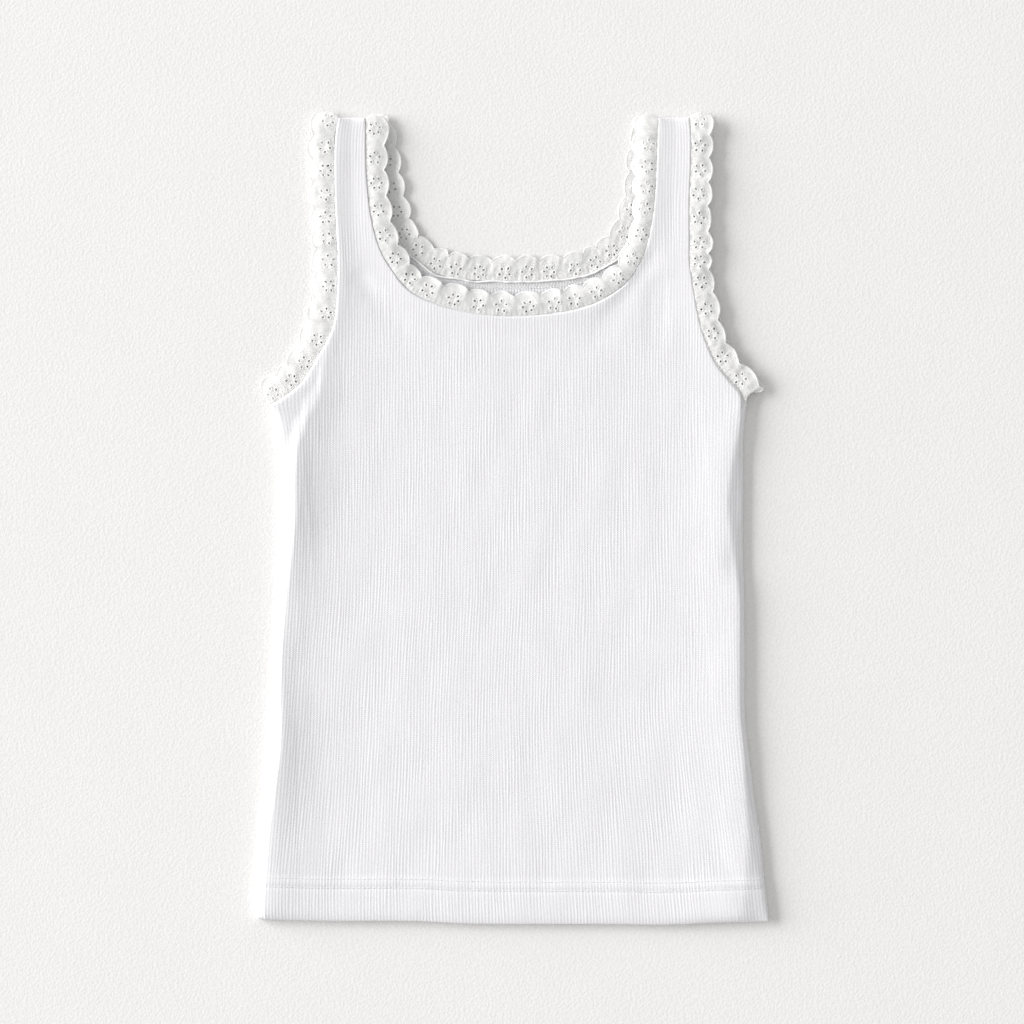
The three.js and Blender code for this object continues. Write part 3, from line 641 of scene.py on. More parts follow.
class Nodes:
    """Short helper that adds linked nodes to one material."""

    def __init__(self, name):
        self.material = bpy.data.materials.get(name) or bpy.data.materials.new(name)
        self.material.use_nodes = True
        self.tree = self.material.node_tree
        self.tree.nodes.clear()
        self.output = self.add("ShaderNodeOutputMaterial")
        self.shader = self.add("ShaderNodeBsdfPrincipled")
        self.tree.links.new(self.shader.outputs["BSDF"], self.output.inputs["Surface"])

    def add(self, kind, inputs=None, **settings):
        """A node with its settings. An input is a number, a colour or another node's socket."""
        node = self.tree.nodes.new(kind)
        for key, value in settings.items():
            setattr(node, key, value)
        for key, value in (inputs or {}).items():
            if isinstance(value, bpy.types.NodeSocket):
                self.tree.links.new(value, node.inputs[key])
            else:
                node.inputs[key].default_value = value
        return node

    def math(self, operation, a, b=0.0):
        """A sum on one or two values."""
        return self.add("ShaderNodeMath", {0: a, 1: b}, operation=operation).outputs[0]

    def mix(self, share, a, b):
        """Colour that goes from a to b by the share."""
        inputs = {0: share, 6: a, 7: b}
        return self.add("ShaderNodeMix", inputs, data_type="RGBA").outputs[2]

    def noise(self, where, scale, detail=3.0):
        """Fine uneven pattern from 0 to 1."""
        inputs = {"Vector": where, "Scale": scale, "Detail": detail}
        return self.add("ShaderNodeTexNoise", inputs).outputs["Fac"]

    def finish(self, colour, roughness, bump, distance, **settings):
        """Colour may be a socket. Numbers that are the same all over go straight on the shader."""
        relief = self.add("ShaderNodeBump", {"Height": bump, "Distance": distance, "Strength": 1.0})
        links = {"Base Color": colour, "Roughness": roughness, "Normal": relief.outputs["Normal"]}
        for key, value in {**links, **settings}.items():
            if isinstance(value, bpy.types.NodeSocket):
                self.tree.links.new(value, self.shader.inputs[key])
            else:
                self.shader.inputs[key].default_value = value
        return self.material


def cloth_finish(colour, share=0.5, reach=0.0007):
    """Sheen, and a share of the light going through the cloth over a short reach, as on cotton."""
    return {
        "Sheen Weight": 0.12,
        "Sheen Roughness": 0.6,
        "Sheen Tint": (*colour[:3], 1.0),
        "Specular IOR Level": 0.25,
        "Subsurface Weight": share,
        "Subsurface Radius": (1.0, 1.0, 1.0),
        "Subsurface Scale": reach,
    }


def knit_material():
    """Rib knit: painted shade in the grooves, which are coloured darker and a little lavender by a
    cosine of the rib count, stitches as small Vs along each rib, and fine uneven yarn."""
    n = Nodes("rib knit")
    uv = n.add("ShaderNodeUVMap", uv_map="cloth").outputs["UV"]
    place = n.add("ShaderNodeTexCoord").outputs["Object"]
    parts = n.add("ShaderNodeSeparateXYZ", {0: uv})
    ribs, length = parts.outputs["X"], parts.outputs["Y"]
    # Groove mask, 1 in a groove and 0 on a crest: it mixes in the groove colour as painted shade between
    # the ribs
    turn = n.math("MULTIPLY", ribs, 2 * np.pi)
    groove = n.math("MULTIPLY_ADD", n.math("COSINE", turn), 0.5)
    groove.node.inputs[2].default_value = 0.5
    groove = n.math("POWER", groove, 1.3)
    lean = n.math("ABSOLUTE", n.math("SUBTRACT", n.math("FRACT", ribs), 0.5))
    courses = n.math("MULTIPLY", length, 2 * np.pi / KNIT_STITCH)
    course = n.math("ADD", courses, n.math("MULTIPLY", lean, 7.0))
    stitch = n.math("SINE", course)
    yarn = n.noise(place, 1400.0, 2.0)
    slow = n.noise(place, 55.0, 2.0)
    colour = n.mix(groove, (*coloured("knit")[:3], 1), (*coloured("groove")[:3], 1))
    tint = n.add("ShaderNodeMapRange", {"Value": slow, "From Min": 0.3, "From Max": 0.7,
                                       "To Min": 0.985, "To Max": 1.01}).outputs[0]
    speck = n.add("ShaderNodeMapRange", {"Value": yarn, "From Min": 0.25, "From Max": 0.75,
                                        "To Min": 0.965, "To Max": 1.02}).outputs[0]
    shade = n.math("MULTIPLY", tint, speck)
    scaled = n.add("ShaderNodeVectorMath", {0: colour, 3: shade}, operation="SCALE").outputs[0]
    relief = n.math("ADD", n.math("MULTIPLY", stitch, 0.3), yarn)
    rough = n.add("ShaderNodeMapRange", {"Value": yarn, "To Min": 0.86, "To Max": 0.98}).outputs[0]
    return n.finish(scaled, rough, relief, 0.00006, **cloth_finish(coloured("knit")))


def lace_material():
    """Eyelet lace: thin plain-weave cotton whose satin-stitched rims and edge, told by the mark
    satin, are whiter and smoother."""
    n = Nodes("eyelet lace")
    uv = n.add("ShaderNodeUVMap", uv_map="cloth").outputs["UV"]
    place = n.add("ShaderNodeTexCoord").outputs["Object"]
    parts = n.add("ShaderNodeSeparateXYZ", {0: uv})
    satin = n.add("ShaderNodeAttribute", attribute_name="satin").outputs["Fac"]
    warp = n.math("SINE", n.math("MULTIPLY", parts.outputs["X"], 2 * np.pi / WEAVE_STEP))
    weft = n.math("SINE", n.math("MULTIPLY", parts.outputs["Y"], 2 * np.pi / WEAVE_STEP))
    weave = n.math("MULTIPLY", warp, weft)
    yarn = n.noise(place, 1700.0, 2.0)
    slow = n.noise(place, 130.0, 2.0)
    colour = n.mix(satin, (*coloured("lace")[:3], 1), (*coloured("satin")[:3], 1))
    tint = n.add("ShaderNodeMapRange", {"Value": slow, "From Min": 0.3, "From Max": 0.7,
                                       "To Min": 0.97, "To Max": 1.01}).outputs[0]
    speck = n.add("ShaderNodeMapRange", {"Value": yarn, "From Min": 0.25, "From Max": 0.75,
                                        "To Min": 0.95, "To Max": 1.02}).outputs[0]
    scaled = n.add("ShaderNodeVectorMath", {0: colour, 3: n.math("MULTIPLY", tint, speck)},
                   operation="SCALE").outputs[0]
    relief = n.math("ADD", n.math("MULTIPLY", weave, 0.25), yarn)
    rough = n.add("ShaderNodeMapRange", {"Value": satin, "To Min": 0.92, "To Max": 0.62}).outputs[0]
    return n.finish(scaled, rough, relief, 0.00006, **cloth_finish(coloured("lace"), 0.7, 0.001))


def thread_material():
    """Cotton thread: fine strands that twist round it, from a wave across the object's own place."""
    n = Nodes("cotton thread")
    place = n.add("ShaderNodeTexCoord").outputs["Object"]
    strands = n.add("ShaderNodeTexWave", {"Vector": place, "Scale": 900.0, "Distortion": 2.0,
                                         "Detail": 1.0}, bands_direction="DIAGONAL").outputs["Fac"]
    yarn = n.noise(place, 1500.0, 2.0)
    shade = n.add("ShaderNodeMapRange", {"Value": yarn, "To Min": 0.95, "To Max": 1.03}).outputs[0]
    scaled = n.add("ShaderNodeVectorMath", {0: coloured("thread")[:3], 3: shade},
                   operation="SCALE").outputs[0]
    rough = n.add("ShaderNodeMapRange", {"Value": strands, "To Min": 0.6, "To Max": 0.8}).outputs[0]
    return n.finish(scaled, rough, strands, 0.00004, **cloth_finish(coloured("thread")))


def floor_material():
    """Pale matt floor with a faint uneven grain."""
    n = Nodes("pale floor")
    place = n.add("ShaderNodeTexCoord").outputs["Object"]
    grain = n.noise(place, 780.0, 3.0)
    cloud = n.noise(place, 24.0, 3.0)
    shade = n.math("ADD", n.math("MULTIPLY", grain, 0.16), n.math("MULTIPLY", cloud, 0.03))
    shade = n.math("ADD", shade, 0.905)
    scaled = n.add("ShaderNodeVectorMath", {0: coloured("floor")[:3], 3: shade},
                   operation="SCALE").outputs[0]
    return n.finish(scaled, 0.9, grain, 0.00015, **{"Specular IOR Level": 0.2})


def rows_of(*parts):
    """Shares from 0 to 1 from several runs of (start, end, how many steps), the last end included."""
    shares = [np.linspace(a, b, n, endpoint=False) for a, b, n in parts]
    return np.concatenate([*shares, [parts[-1][1]]])


HEM_ROWS = rows_of((0, 0.02, 1), (0.02, 0.06, 1), (0.06, 0.72, 5), (0.72, 0.9, 4), (0.9, 1, 2))
BODY_ROWS = rows_of((0, 0.03, 4), (0.03, 0.97, 44), (0.97, 0.99, 2), (0.99, 0.997, 2), (0.997, 1, 1))
STRAP_ROWS = rows_of((0, 0.97, 34), (0.97, 0.992, 2), (0.992, 1, 2))


def hem_dip(x, y):
    """Grooves that the two rows of hem stitches pull into the cloth: e to the minus square of the
    distance from each row."""
    up = y - hem_y(x)
    rows = (np.exp(-((up - row) / HEM_STITCH_SPREAD) ** 2) for row in HEM_STITCH_ROWS)
    return HEM_STITCH_DIP * sum(rows)


def front_panel():
    """Front shell: ribs raised on the puffed and folded cloth, with a plain inside. Its upper side
    rounds down to each edge by e to the minus distance, less at a seam."""
    neck = polyline(FRONT_NECK)
    half, x, y, grids = panel_grid(neck, FRONT_STEPS_PER_RIB, HEM_ROWS, BODY_ROWS, STRAP_ROWS)
    none = np.empty((0, 3), int)
    top_faces = tidy_faces(np.concatenate([grid_faces(g) for g in grids]), none)
    sides = edge_pairs(*top_faces)
    xy = np.stack([x, y], axis=1)
    edge = edge_distance(xy, xy[sides])
    inwards = 1 - np.exp(-edge / DRIFT_REACH)
    x_out = x + rib_wander(half, y) * inwards

    seam = seam_distance(xy, neck)
    under = front_underside(x, y, edge, seam)
    turned = np.clip((hem_y(x) + HEM_DEPTH + HEM_STEP - y) / HEM_STEP, 0, 1) * HEM_EXTRA
    relief = sized("rib_relief")
    ribs = RIB_RISE - relief * (1 - rib_profile(half, y)) * rib_strength(x, y)
    soft = 0.08 * waves(x, y * 0.5, 3, 42) + 0.05 * waves(x, y * 0.5, 5, 17)
    over = under + CLOTH + turned + ribs + soft * (1 - np.exp(-edge / SOFT_REACH))
    sewn = np.exp(-seam / SEWN_EDGE_REACH)
    rounded = EDGE_ROUND * (1 - SEWN_EDGE_FLATTER * sewn)
    over -= rounded * np.exp(-edge / (1 - SEWN_EDGE_NARROWER * sewn)) + hem_dip(x, y)

    coarse = [coarse_faces(g, FRONT_STEPS_PER_RIB, i == 0) for i, g in enumerate(grids)]
    low_faces = [np.concatenate(part) for part in zip(*coarse)]
    points, quads, triangles, kept = closed_shell(
        np.stack([x_out, y, over], axis=1), np.stack([x, y, under], axis=1), top_faces, low_faces)
    piece = add_mesh("tank_front", points, quads, triangles, np.stack([half / 2, y], axis=1)[kept])
    dress(piece, knit_material(), "rib_knit", "front_panel")
    return piece


def back_panel():
    """Back shell: flat underneath but for the grooves of its ribs, with its plainer inside up, and
    both sides rounded to each edge by e to the minus distance."""
    neck = polyline(BACK_NECK)
    hem_rows = rows_of((0, 0.03, 1), (0.03, 0.9, 3), (0.9, 1, 1))
    body_rows = rows_of((0, 0.96, 24), (0.96, 0.99, 2), (0.99, 1, 2))
    strap_rows = rows_of((0, 0.98, 12), (0.98, 1, 1))
    half, x, y, grids = panel_grid(neck, BACK_STEPS_PER_RIB, hem_rows, body_rows, strap_rows)
    quads = np.concatenate([grid_faces(g) for g in grids])
    faces = tidy_faces(quads, np.empty((0, 3), int))
    xy = np.stack([x, y], axis=1)
    edge = edge_distance(xy, xy[edge_pairs(*faces)])
    inwards = 1 - np.exp(-edge / DRIFT_REACH)
    x_out = x + rib_wander(half, y) * inwards
    rounded = BACK_EDGE_ROUND * np.exp(-edge / BACK_EDGE_REACH)
    over = CLOTH - BACK_INSIDE_GROOVE * (0.5 + 0.5 * np.cos(np.pi * half)) * inwards - rounded
    under = BACK_GROOVE * (1 - rib_profile(half, y).clip(0, 1)) + rounded
    points, quads, triangles, kept = closed_shell(
        np.stack([x_out, y, over], axis=1), np.stack([x_out, y, under], axis=1), faces, faces)
    piece = add_mesh("tank_back", points, quads, triangles, np.stack([half / 2, y], axis=1)[kept])
    dress(piece, knit_material(), "rib_knit", "back_panel")
    return piece


def swell(scallop):
    """Slow rise and fall along a strip: half of 1 plus the sine of the scallops."""
    return SWELL * (1 + np.sin(2 * np.pi * scallop / SWELL_LENGTH)) / 2


def ruffle(scallop):
    """Ruffle wave, one for each scallop: half of 1 plus the cosine of the scallops."""
    return RUFFLE * (1 + np.cos(2 * np.pi * scallop + RUFFLE_START)) / 2


def arch(v):
    """Height across a front strip: it falls by the square of v from its seam and is crowned a little
    in between."""
    return LACE_REST + LACE_LIFT * (1 - v * v) + LACE_CROWN * 4 * v * (1 - v)


def under_back(scallop, v):
    """Underside of a back strip: flat at its seam, with its swells growing by the square of v."""
    return swell(scallop) * v * v


def under_armhole_front(scallop, v):
    """Underside of a front armhole strip: the arch, the swells and the ruffle."""
    return arch(v) + swell(scallop) * v * v + ruffle(scallop) * v


def under_neck_front(scallop, v):
    """Underside of the front neck strip: the arch, lifted outwards, and the ruffle."""
    return arch(v) + NECK_LIFT * v + ruffle(scallop) * v


def lay_strip(random, stations, side, shift, narrower, ends):
    """Flat form of a strip of lace. A point's two numbers are the count of scallops along the seam
    and the share v of the way out. It stands off the seam by v times the reach, cut back between
    scallops by 1 minus the sine of the count and a little by the sine of each stitch at the edge.
    Sideways, the sine of the count draws each scallop over or towards the next."""
    first, last = stations[0, 2] + shift, stations[-1, 2] + shift
    columns = int(round((last - first) * LACE_COLUMNS))
    count = np.linspace(first, last, columns + 1)
    scallop = count - shift
    at = np.interp(scallop, stations[:, 2], np.arange(len(stations)))
    seam, run = seam_at(stations, at)
    out_way = side * np.stack([-run[:, 1], run[:, 0]], axis=1)
    reach = np.interp(at, np.arange(len(stations)), stations[:, 3]) - narrower
    along = length_along(seam)

    # Each scallop differs a little in size, lean and lift, and each notch in how far it overlaps
    numbers = np.arange(np.floor(first) - 1, np.ceil(last) + 2)

    def uneven(low, high, offset=0.5):
        return np.interp(count, numbers + offset, random.uniform(low, high, len(numbers)))

    reach = reach * (1 + uneven(-0.05, 0.04))
    from_end = np.minimum(along, along[-1] - along)
    near_end = np.clip(from_end / END_ROUND, 0, 1)
    reach = reach * (0.7 + 0.3 * np.sqrt(1 - (1 - near_end) ** 2))
    sway = uneven(-0.8, 0.8) * near_end
    lift = uneven(-0.1, 0.3)
    overlap = uneven(0.0, 0.45, 0.0) * near_end
    pitch = np.gradient(along, count)

    v = np.linspace(0, 1, LACE_ROWS + 1)
    notch = SCALLOP_DEPTH * (1 - np.abs(np.sin(np.pi * count)))
    from_foot, from_top = 1 - (along[-1] - along) / END_REACH, 1 - along / END_REACH
    end = ends[1] * np.clip(from_foot, 0, 1) - ends[0] * np.clip(from_top, 0, 1)
    out = v * reach[:, None] * (1 - v * v * notch[:, None])
    out = out + PICOT * np.abs(np.sin(np.pi * along / PICOT_STEP))[:, None] * v ** 14
    xy = seam[:, None] + out_way[:, None] * (LACE_GAP + out)[..., None]
    aside = sway[:, None] * v * v
    aside = aside - (overlap * pitch * np.sin(2 * np.pi * count) / (2 * np.pi))[:, None] * v ** 2
    aside = aside + end[:, None] * np.sin(np.pi * v ** 0.7 / 1.25)
    xy += run[:, None] * aside[..., None]
    return SimpleNamespace(
        count=count, scallop=scallop, numbers=numbers, seam=seam, run=run, out_way=out_way, reach=reach,
        along=along, lift=lift, v=v, notch=notch, out=out, aside=aside, xy=xy)


def strip_height(random, strip, underside, seed, base, curl, lip):
    """Height of a strip's cloth: the solid's, a bow over its width by the sine of v, a step between
    neighbouring scallops, fine gathers at the seam by the sine of the length along it, and soft
    waves. The free edge curls up by e to the minus square of the distance from it, most where it
    points away from the window."""
    v = strip.v
    number = np.floor(strip.count)
    part = strip.count - number
    steps = random.uniform(0.15, 0.5, len(strip.numbers))
    steps = steps * random.choice([1, 1, 1, -0.7], len(strip.numbers))
    step = steps[(number - strip.numbers[0]).astype(int) + 1]
    rise = step * np.where(part < STEP_PLACE, part / STEP_PLACE, (1 - part) / (1 - STEP_PLACE))
    gather = np.sin(2 * np.pi * strip.along / GATHER_STEP + 1.3 * np.sin(strip.along / 3.1 + seed))
    bow = curl * np.sin(np.pi * v) - min(curl, EDGE_DROP) * v ** 4
    z = underside(strip.scallop[:, None], v) + base[0] + (base[1] - base[0]) * v + bow
    z = z + rise[:, None] * v ** 1.5
    z = z + GATHER * gather[:, None] * np.exp(-strip.out / 2.2) * np.minimum(1, strip.out / 0.6)
    z = z + strip.lift[:, None] * v + 0.12 * waves(strip.xy[..., 0], strip.xy[..., 1], seed + 50, 5.0)
    rightwards = (0.5 + 0.5 * strip.out_way[:, 0])[:, None]
    left_over = (1 - v) * strip.reach[:, None]
    return z + lip * rightwards * np.exp(-(left_over / LIP_REACH) ** 2)


def flower_eyelets(random, strip, flower_out):
    """Eyelets of a strip: a ring of five or six round each flower's middle, each an ellipse that
    points away from it. One row for each: x, y, half its length, half its width and its turn."""
    first, last = strip.count[0], strip.count[-1]
    middles = np.arange(np.ceil(first - 0.2), np.floor(last + 0.2)) + 0.5
    middles = middles[(middles > first + 0.25) & (middles < last - 0.25)]
    many = len(middles)
    spot = np.interp(middles, strip.count, np.arange(len(strip.count)))
    flower_out = flower_out + random.uniform(-0.35, 0.35, many)
    i = np.clip(np.round(spot).astype(int), 0, len(strip.count) - 1)
    row = np.clip(np.round(flower_out / strip.reach[i] * LACE_ROWS).astype(int), 0, LACE_ROWS)
    run, out_way = strip.run[i], strip.out_way[i]
    centre = strip.seam[i] + out_way * (LACE_GAP + flower_out)[:, None]
    centre = centre + run * strip.aside[i, row][:, None]
    petals = random.choice([5, 5, 6], many)
    spin = random.uniform(0, 2 * np.pi, many)
    eyelets = []
    for k in range(6):
        angle = spin + 2 * np.pi * k / petals + random.uniform(-0.08, 0.08, many)
        radius = sized("flower_radius") * random.uniform(0.92, 1.06, many)
        direction = np.cos(angle)[:, None] * run + np.sin(angle)[:, None] * out_way
        place = centre + direction * radius[:, None]
        long = sized("eyelet_length") / 2 * random.uniform(0.86, 1.1, many)
        wide = sized("eyelet_width") / 2 * random.uniform(0.82, 1.15, many)
        turn = np.arctan2(direction[:, 1], direction[:, 0]) + random.uniform(-0.4, 0.4, many)
        eyelets.append(np.column_stack([place, long, wide, turn])[k < petals])
    return np.concatenate(eyelets)


def nearest_eyelet(points, eyelets):
    """Each point's nearest eyelet, and its distance from the middle of it in half widths."""
    away = points[:, None] - eyelets[:, :2]
    c, s = np.cos(eyelets[:, 4]), np.sin(eyelets[:, 4])
    p = (away[..., 0] * c + away[..., 1] * s) / eyelets[:, 2]
    q = (-away[..., 0] * s + away[..., 1] * c) / eyelets[:, 3]
    far = np.hypot(p, q)
    best = far.argmin(axis=1)
    return best, far[np.arange(len(points)), best]


def lace_strip(name, node, stations, side, underside, seed, rests_on, shift=0.0, narrower=0.0,
               flower_out=4.5, base=(0.4, 0.3), curl=0.1, lip=0.4, ends=(1.6, 1.6)):
    """A gathered strip of eyelet lace along a seam, as a thin closed shell. Faces inside each eyelet
    are left out and their rims drawn to its ellipse. Satin stitches stand up round each eyelet and
    along the scallops by e to the minus square of the distance from them."""
    random = np.random.default_rng(seed)
    strip = lay_strip(random, stations, side, shift, narrower, ends)
    z = strip_height(random, strip, underside, seed, base, curl, lip)
    eyelets = flower_eyelets(random, strip, flower_out)

    grid = np.arange(strip.xy[..., 0].size).reshape(-1, LACE_ROWS + 1)
    flat = strip.xy.reshape(-1, 2)
    quads = grid_faces(grid)
    _, far = nearest_eyelet(flat[quads].mean(axis=1), eyelets)
    inner = far < 1
    # The strip's own edge stays whole
    border = np.unique(np.concatenate([grid[0], grid[-1], grid[:, 0], grid[:, -1]]))
    inner &= ~np.isin(quads, border).any(axis=1)
    rim = np.intersect1d(quads[inner], quads[~inner])
    best, far = nearest_eyelet(flat, eyelets)
    hole = eyelets[best]
    flat[rim] = hole[rim, :2] + (flat[rim] - hole[rim, :2]) / far[rim, None]
    off = (far - 1) * np.sqrt(hole[:, 2] * hole[:, 3])
    off[rim] = 0
    raised = np.exp(-((off - RIM_PLACE) / RIM_WIDTH) ** 2)
    stitched = np.exp(-(np.maximum(0, off - FLOWER_START) / FLOWER_FADE) ** 2)
    out_left = ((1 - strip.v) * strip.reach[:, None] * (1 - strip.notch[:, None])).ravel()
    band = np.exp(-((out_left - BAND_PLACE) / BAND_WIDTH) ** 2)
    beads = 0.85 + 0.15 * np.sin(2 * np.pi * strip.along / BEAD_STEP)
    band *= np.repeat(beads, LACE_ROWS + 1)
    height = z.ravel() + RIM_RISE * raised + FLOWER_RISE * stitched + BAND_RISE * band
    quads = quads[~inner]
    if side < 0:
        quads = quads[:, ::-1]

    none = np.empty((0, 3), int)
    over = np.column_stack([flat, height + sized("lace_thickness")])
    under = np.column_stack([flat, height - 0.1 * raised])
    under[:, 2] = np.maximum(under[:, 2], FLOOR_CLEAR if rests_on == "floor" else LACE_REST - 0.2)
    points, quads, triangles, kept = closed_shell(over, under, (quads, none), (quads, none))
    cloth_map = np.stack([np.repeat(strip.along, LACE_ROWS + 1), strip.out.ravel()], axis=1)
    satin = np.clip(np.maximum(stitched, band), 0, 1)
    piece = add_mesh(name, points, quads, triangles, cloth_map[kept], {"satin": satin[kept]})
    dress(piece, lace_material(), "eyelet_lace", node)
    return piece


def tube(path, radius, sides=8, flatten=1.0):
    """A closed round tube along a path of points: rings at right angles to the path, each a circle of
    the given radius, flattened in height, with a point at each end."""
    run = np.gradient(path, axis=0)
    run /= np.linalg.norm(run, axis=1, keepdims=True)
    across = np.cross(run, [0, 0, 1.0])
    across /= np.linalg.norm(across, axis=1, keepdims=True)
    up = np.cross(across, run)
    angle = 2 * np.pi * np.arange(sides) / sides
    radius = np.broadcast_to(radius, len(path))[:, None, None]
    circle = across[:, None] * np.cos(angle)[:, None] + up[:, None] * np.sin(angle)[:, None] * flatten
    points = (path[:, None] + radius * circle).reshape(-1, 3)
    ring = np.arange(len(path) * sides).reshape(len(path), sides)
    ring = np.concatenate([ring, ring[:, :1]], axis=1)
    quads = grid_faces(ring)[:, ::-1]
    count = len(points)
    ends = np.array([path[0] - run[0] * radius[0, 0] * 0.5, path[-1] + run[-1] * radius[-1, 0] * 0.5])
    start = np.stack([ring[0, :-1], ring[0, 1:], np.full(sides, count)], axis=1)
    finish = np.stack([ring[-1, 1:], ring[-1, :-1], np.full(sides, count + 1)], axis=1)
    return np.concatenate([points, ends]), quads, np.concatenate([start, finish])


def joined(parts):
    """Several meshes as one: points, quads and triangles with their numbers moved along."""
    points, quads, triangles, count = [], [], [], 0
    for p, q, t in parts:
        points.append(p)
        quads.append(q + count)
        triangles.append(t + count)
        count += len(p)
    return np.concatenate(points), np.concatenate(quads), np.concatenate(triangles)


def seam_path(stations, inset, z, wobble, seed):
    """A path along a seam, set to one side of it, with small seeded wobbles across and up."""
    at = np.linspace(0, len(stations) - 1, 34 * (len(stations) - 1))
    point, run = seam_at(stations, at)
    normal = np.stack([-run[:, 1], run[:, 0]], axis=1)
    length = length_along(point)
    sway = wobble * waves(length, 0 * length, seed, 9.0)
    rise = 0.5 * wobble * waves(length, 0 * length, seed + 1, 6.0)
    xy = point + normal * (inset + sway)[:, None]
    return np.column_stack([xy, z + rise])


def seams():
    """Rolled seam edges: round cords along the neck and armhole seams of both panels. The front's
    follow the height of its cloth."""
    parts = []
    for i, (stations, inset, z, wobble, radius) in enumerate(SEAM_CORDS):
        path = seam_path(stations, inset, z, wobble, 20 + i)
        if z > CLOTH + SEAM_GAP:
            path[:, 2] += front_underside(path[:, 0], path[:, 1], 0.0, 0.0) - FRONT_REST - SEAM_RISE
            path[:, 2] -= 0.25 * np.clip((path[:, 1] - 90) / 20, 0, 1) * (path[:, 0] < 0)
        parts.append(tube(path, radius))
    piece = add_mesh("seam_cords", *joined(parts))
    dress(piece, thread_material(), "rib_knit")
    return piece


def turned_edges():
    """Turned edges: the front and back panels turned into each other as a round edge from hem to
    underarm on each side, the fold of each strap at the shoulder, and the fold of the hem."""
    parts = []
    radius, height = TURNED_EDGE
    for u, inset in ((0.0, EDGE_INSET), (1.0, -EDGE_INSET)):
        y = np.linspace(-200.2, UNDERARM_Y - 0.6, 180)
        x = rib_x(np.full_like(y, u), y) + inset
        z = height + 0.05 * np.sin(y / 6)
        parts.append(tube(np.column_stack([x, y, z]), radius, 10, 1.05))
    for ends in SHOULDERS:
        x = np.linspace(*ends, 60)
        path = np.column_stack([x, np.full_like(x, SHOULDER_Y - EDGE_INSET), np.full_like(x, height)])
        parts.append(tube(path, radius, 10, 1.05))
    radius, height = TURNED_HEM
    x = np.linspace(-127.2, 127.1, 300)
    parts.append(tube(np.column_stack([x, hem_y(x) + 0.5, np.full_like(x, height)]), radius))
    piece = add_mesh("turned_edges", *joined(parts))
    dress(piece, thread_material(), "rib_knit")
    return piece


def stitch_row(row, step, length, radius, lift):
    """Short stitches along a row of points, one for each step: a thread of the given length that
    bows up by the sine of its run and is thinner at its ends."""
    along = length_along(row)
    parts = []
    for mark in np.arange(step / 2, along[-1] - length, step):
        t = np.linspace(0, 1, 6)
        where = mark + t * length
        path = np.column_stack([np.interp(where, along, row[:, i]) for i in range(3)])
        path[:, 2] += lift * np.sin(np.pi * t)
        parts.append(tube(path, radius * np.array([0.6, 1, 1, 1, 1, 0.6]), 6))
    return joined(parts)


def hem_stitches():
    """Two rows of hem stitches, and the overlocked edge inside the back neck."""
    parts = []
    for row in HEM_STITCH_ROWS:
        x = np.linspace(-126.2, 124.5, 500)
        y = hem_y(x) + row + 0.12 * np.sin(x / 3.7)
        edge = np.minimum(x + 127.5, 126.0 - x)
        z = front_underside(x, y, edge, 1e3) + CLOTH + HEM_EXTRA + 0.22
        parts.append(stitch_row(np.column_stack([x, y, z]), *HEM_STITCH))
    path = seam_path(BACK_NECK, OVERLOCK_INSET, OVERLOCK_HEIGHT, 0.1, 31)
    path = path[np.abs(path[:, 0]) < OVERLOCK_END]
    along = length_along(path)
    fine = np.arange(0, along[-1], 0.17)
    zigzag = np.column_stack([np.interp(fine, along, path[:, i]) for i in range(3)])
    swing = np.arcsin(np.sin(2 * np.pi * fine / OVERLOCK_STEP)) / (np.pi / 2)
    zigzag[:, 1] += OVERLOCK_SWING * swing
    parts.append(tube(zigzag, OVERLOCK_RADIUS, 6))
    chain = path.copy()
    chain[:, 1] -= 1.4
    parts.append(stitch_row(chain, *CHAIN_STITCH))
    piece = add_mesh("stitches", *joined(parts))
    dress(piece, thread_material(), "rib_knit")
    return piece


def stage():
    """Pale floor, a large soft light low on the left, an even sky and the camera straight above."""
    scene = bpy.context.scene
    corners = np.array([(-1, -1), (1, -1), (1, 1), (-1, 1)]) * FLOOR_HALF
    corners = np.column_stack([corners, np.full(4, FLOOR_HEIGHT)])
    floor = add_mesh("floor", corners, np.array([[0, 1, 2, 3]]), np.empty((0, 3), int))
    floor.data.materials.append(floor_material())

    world = bpy.data.worlds.new("soft sky")
    world.use_nodes = True
    world.node_tree.nodes["Background"].inputs["Color"].default_value = (1.0, 1.0, 0.995, 1)
    world.node_tree.nodes["Background"].inputs["Strength"].default_value = SKY_STRENGTH
    scene.world = world

    light = bpy.data.lights.new("window", "AREA")
    light.shape = "RECTANGLE"
    light.size, light.size_y = WINDOW_WIDTH, WINDOW_HEIGHT
    light.energy = WINDOW_POWER
    light.color = (1.0, 0.992, 0.983)
    window = bpy.data.objects.new("window", light)
    scene.collection.objects.link(window)
    window.location = WINDOW_PLACE
    window.rotation_euler = (-Vector(WINDOW_PLACE)).to_track_quat("-Z", "Y").to_euler()

    lens = bpy.data.cameras.new("camera")
    lens.sensor_width = 36.0
    lens.lens = LENS
    lens.clip_end = 20.0
    camera = bpy.data.objects.new("camera", lens)
    aim = (CAMERA_AIM + SHIFT[:2]) * MM
    camera.location = (*aim, CAMERA_HEIGHT)
    scene.collection.objects.link(camera)
    scene.camera = camera
    scene.view_settings.view_transform = "Standard"
    return floor


# The solids stand a little off the sizes above, so that the whole garment is centred on the origin
low, high = (np.array(corner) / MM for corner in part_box("front_panel"))
SHIFT = np.array([low[0] - SIDES[0, 1], high[1] - SHOULDER_Y, 0.0])


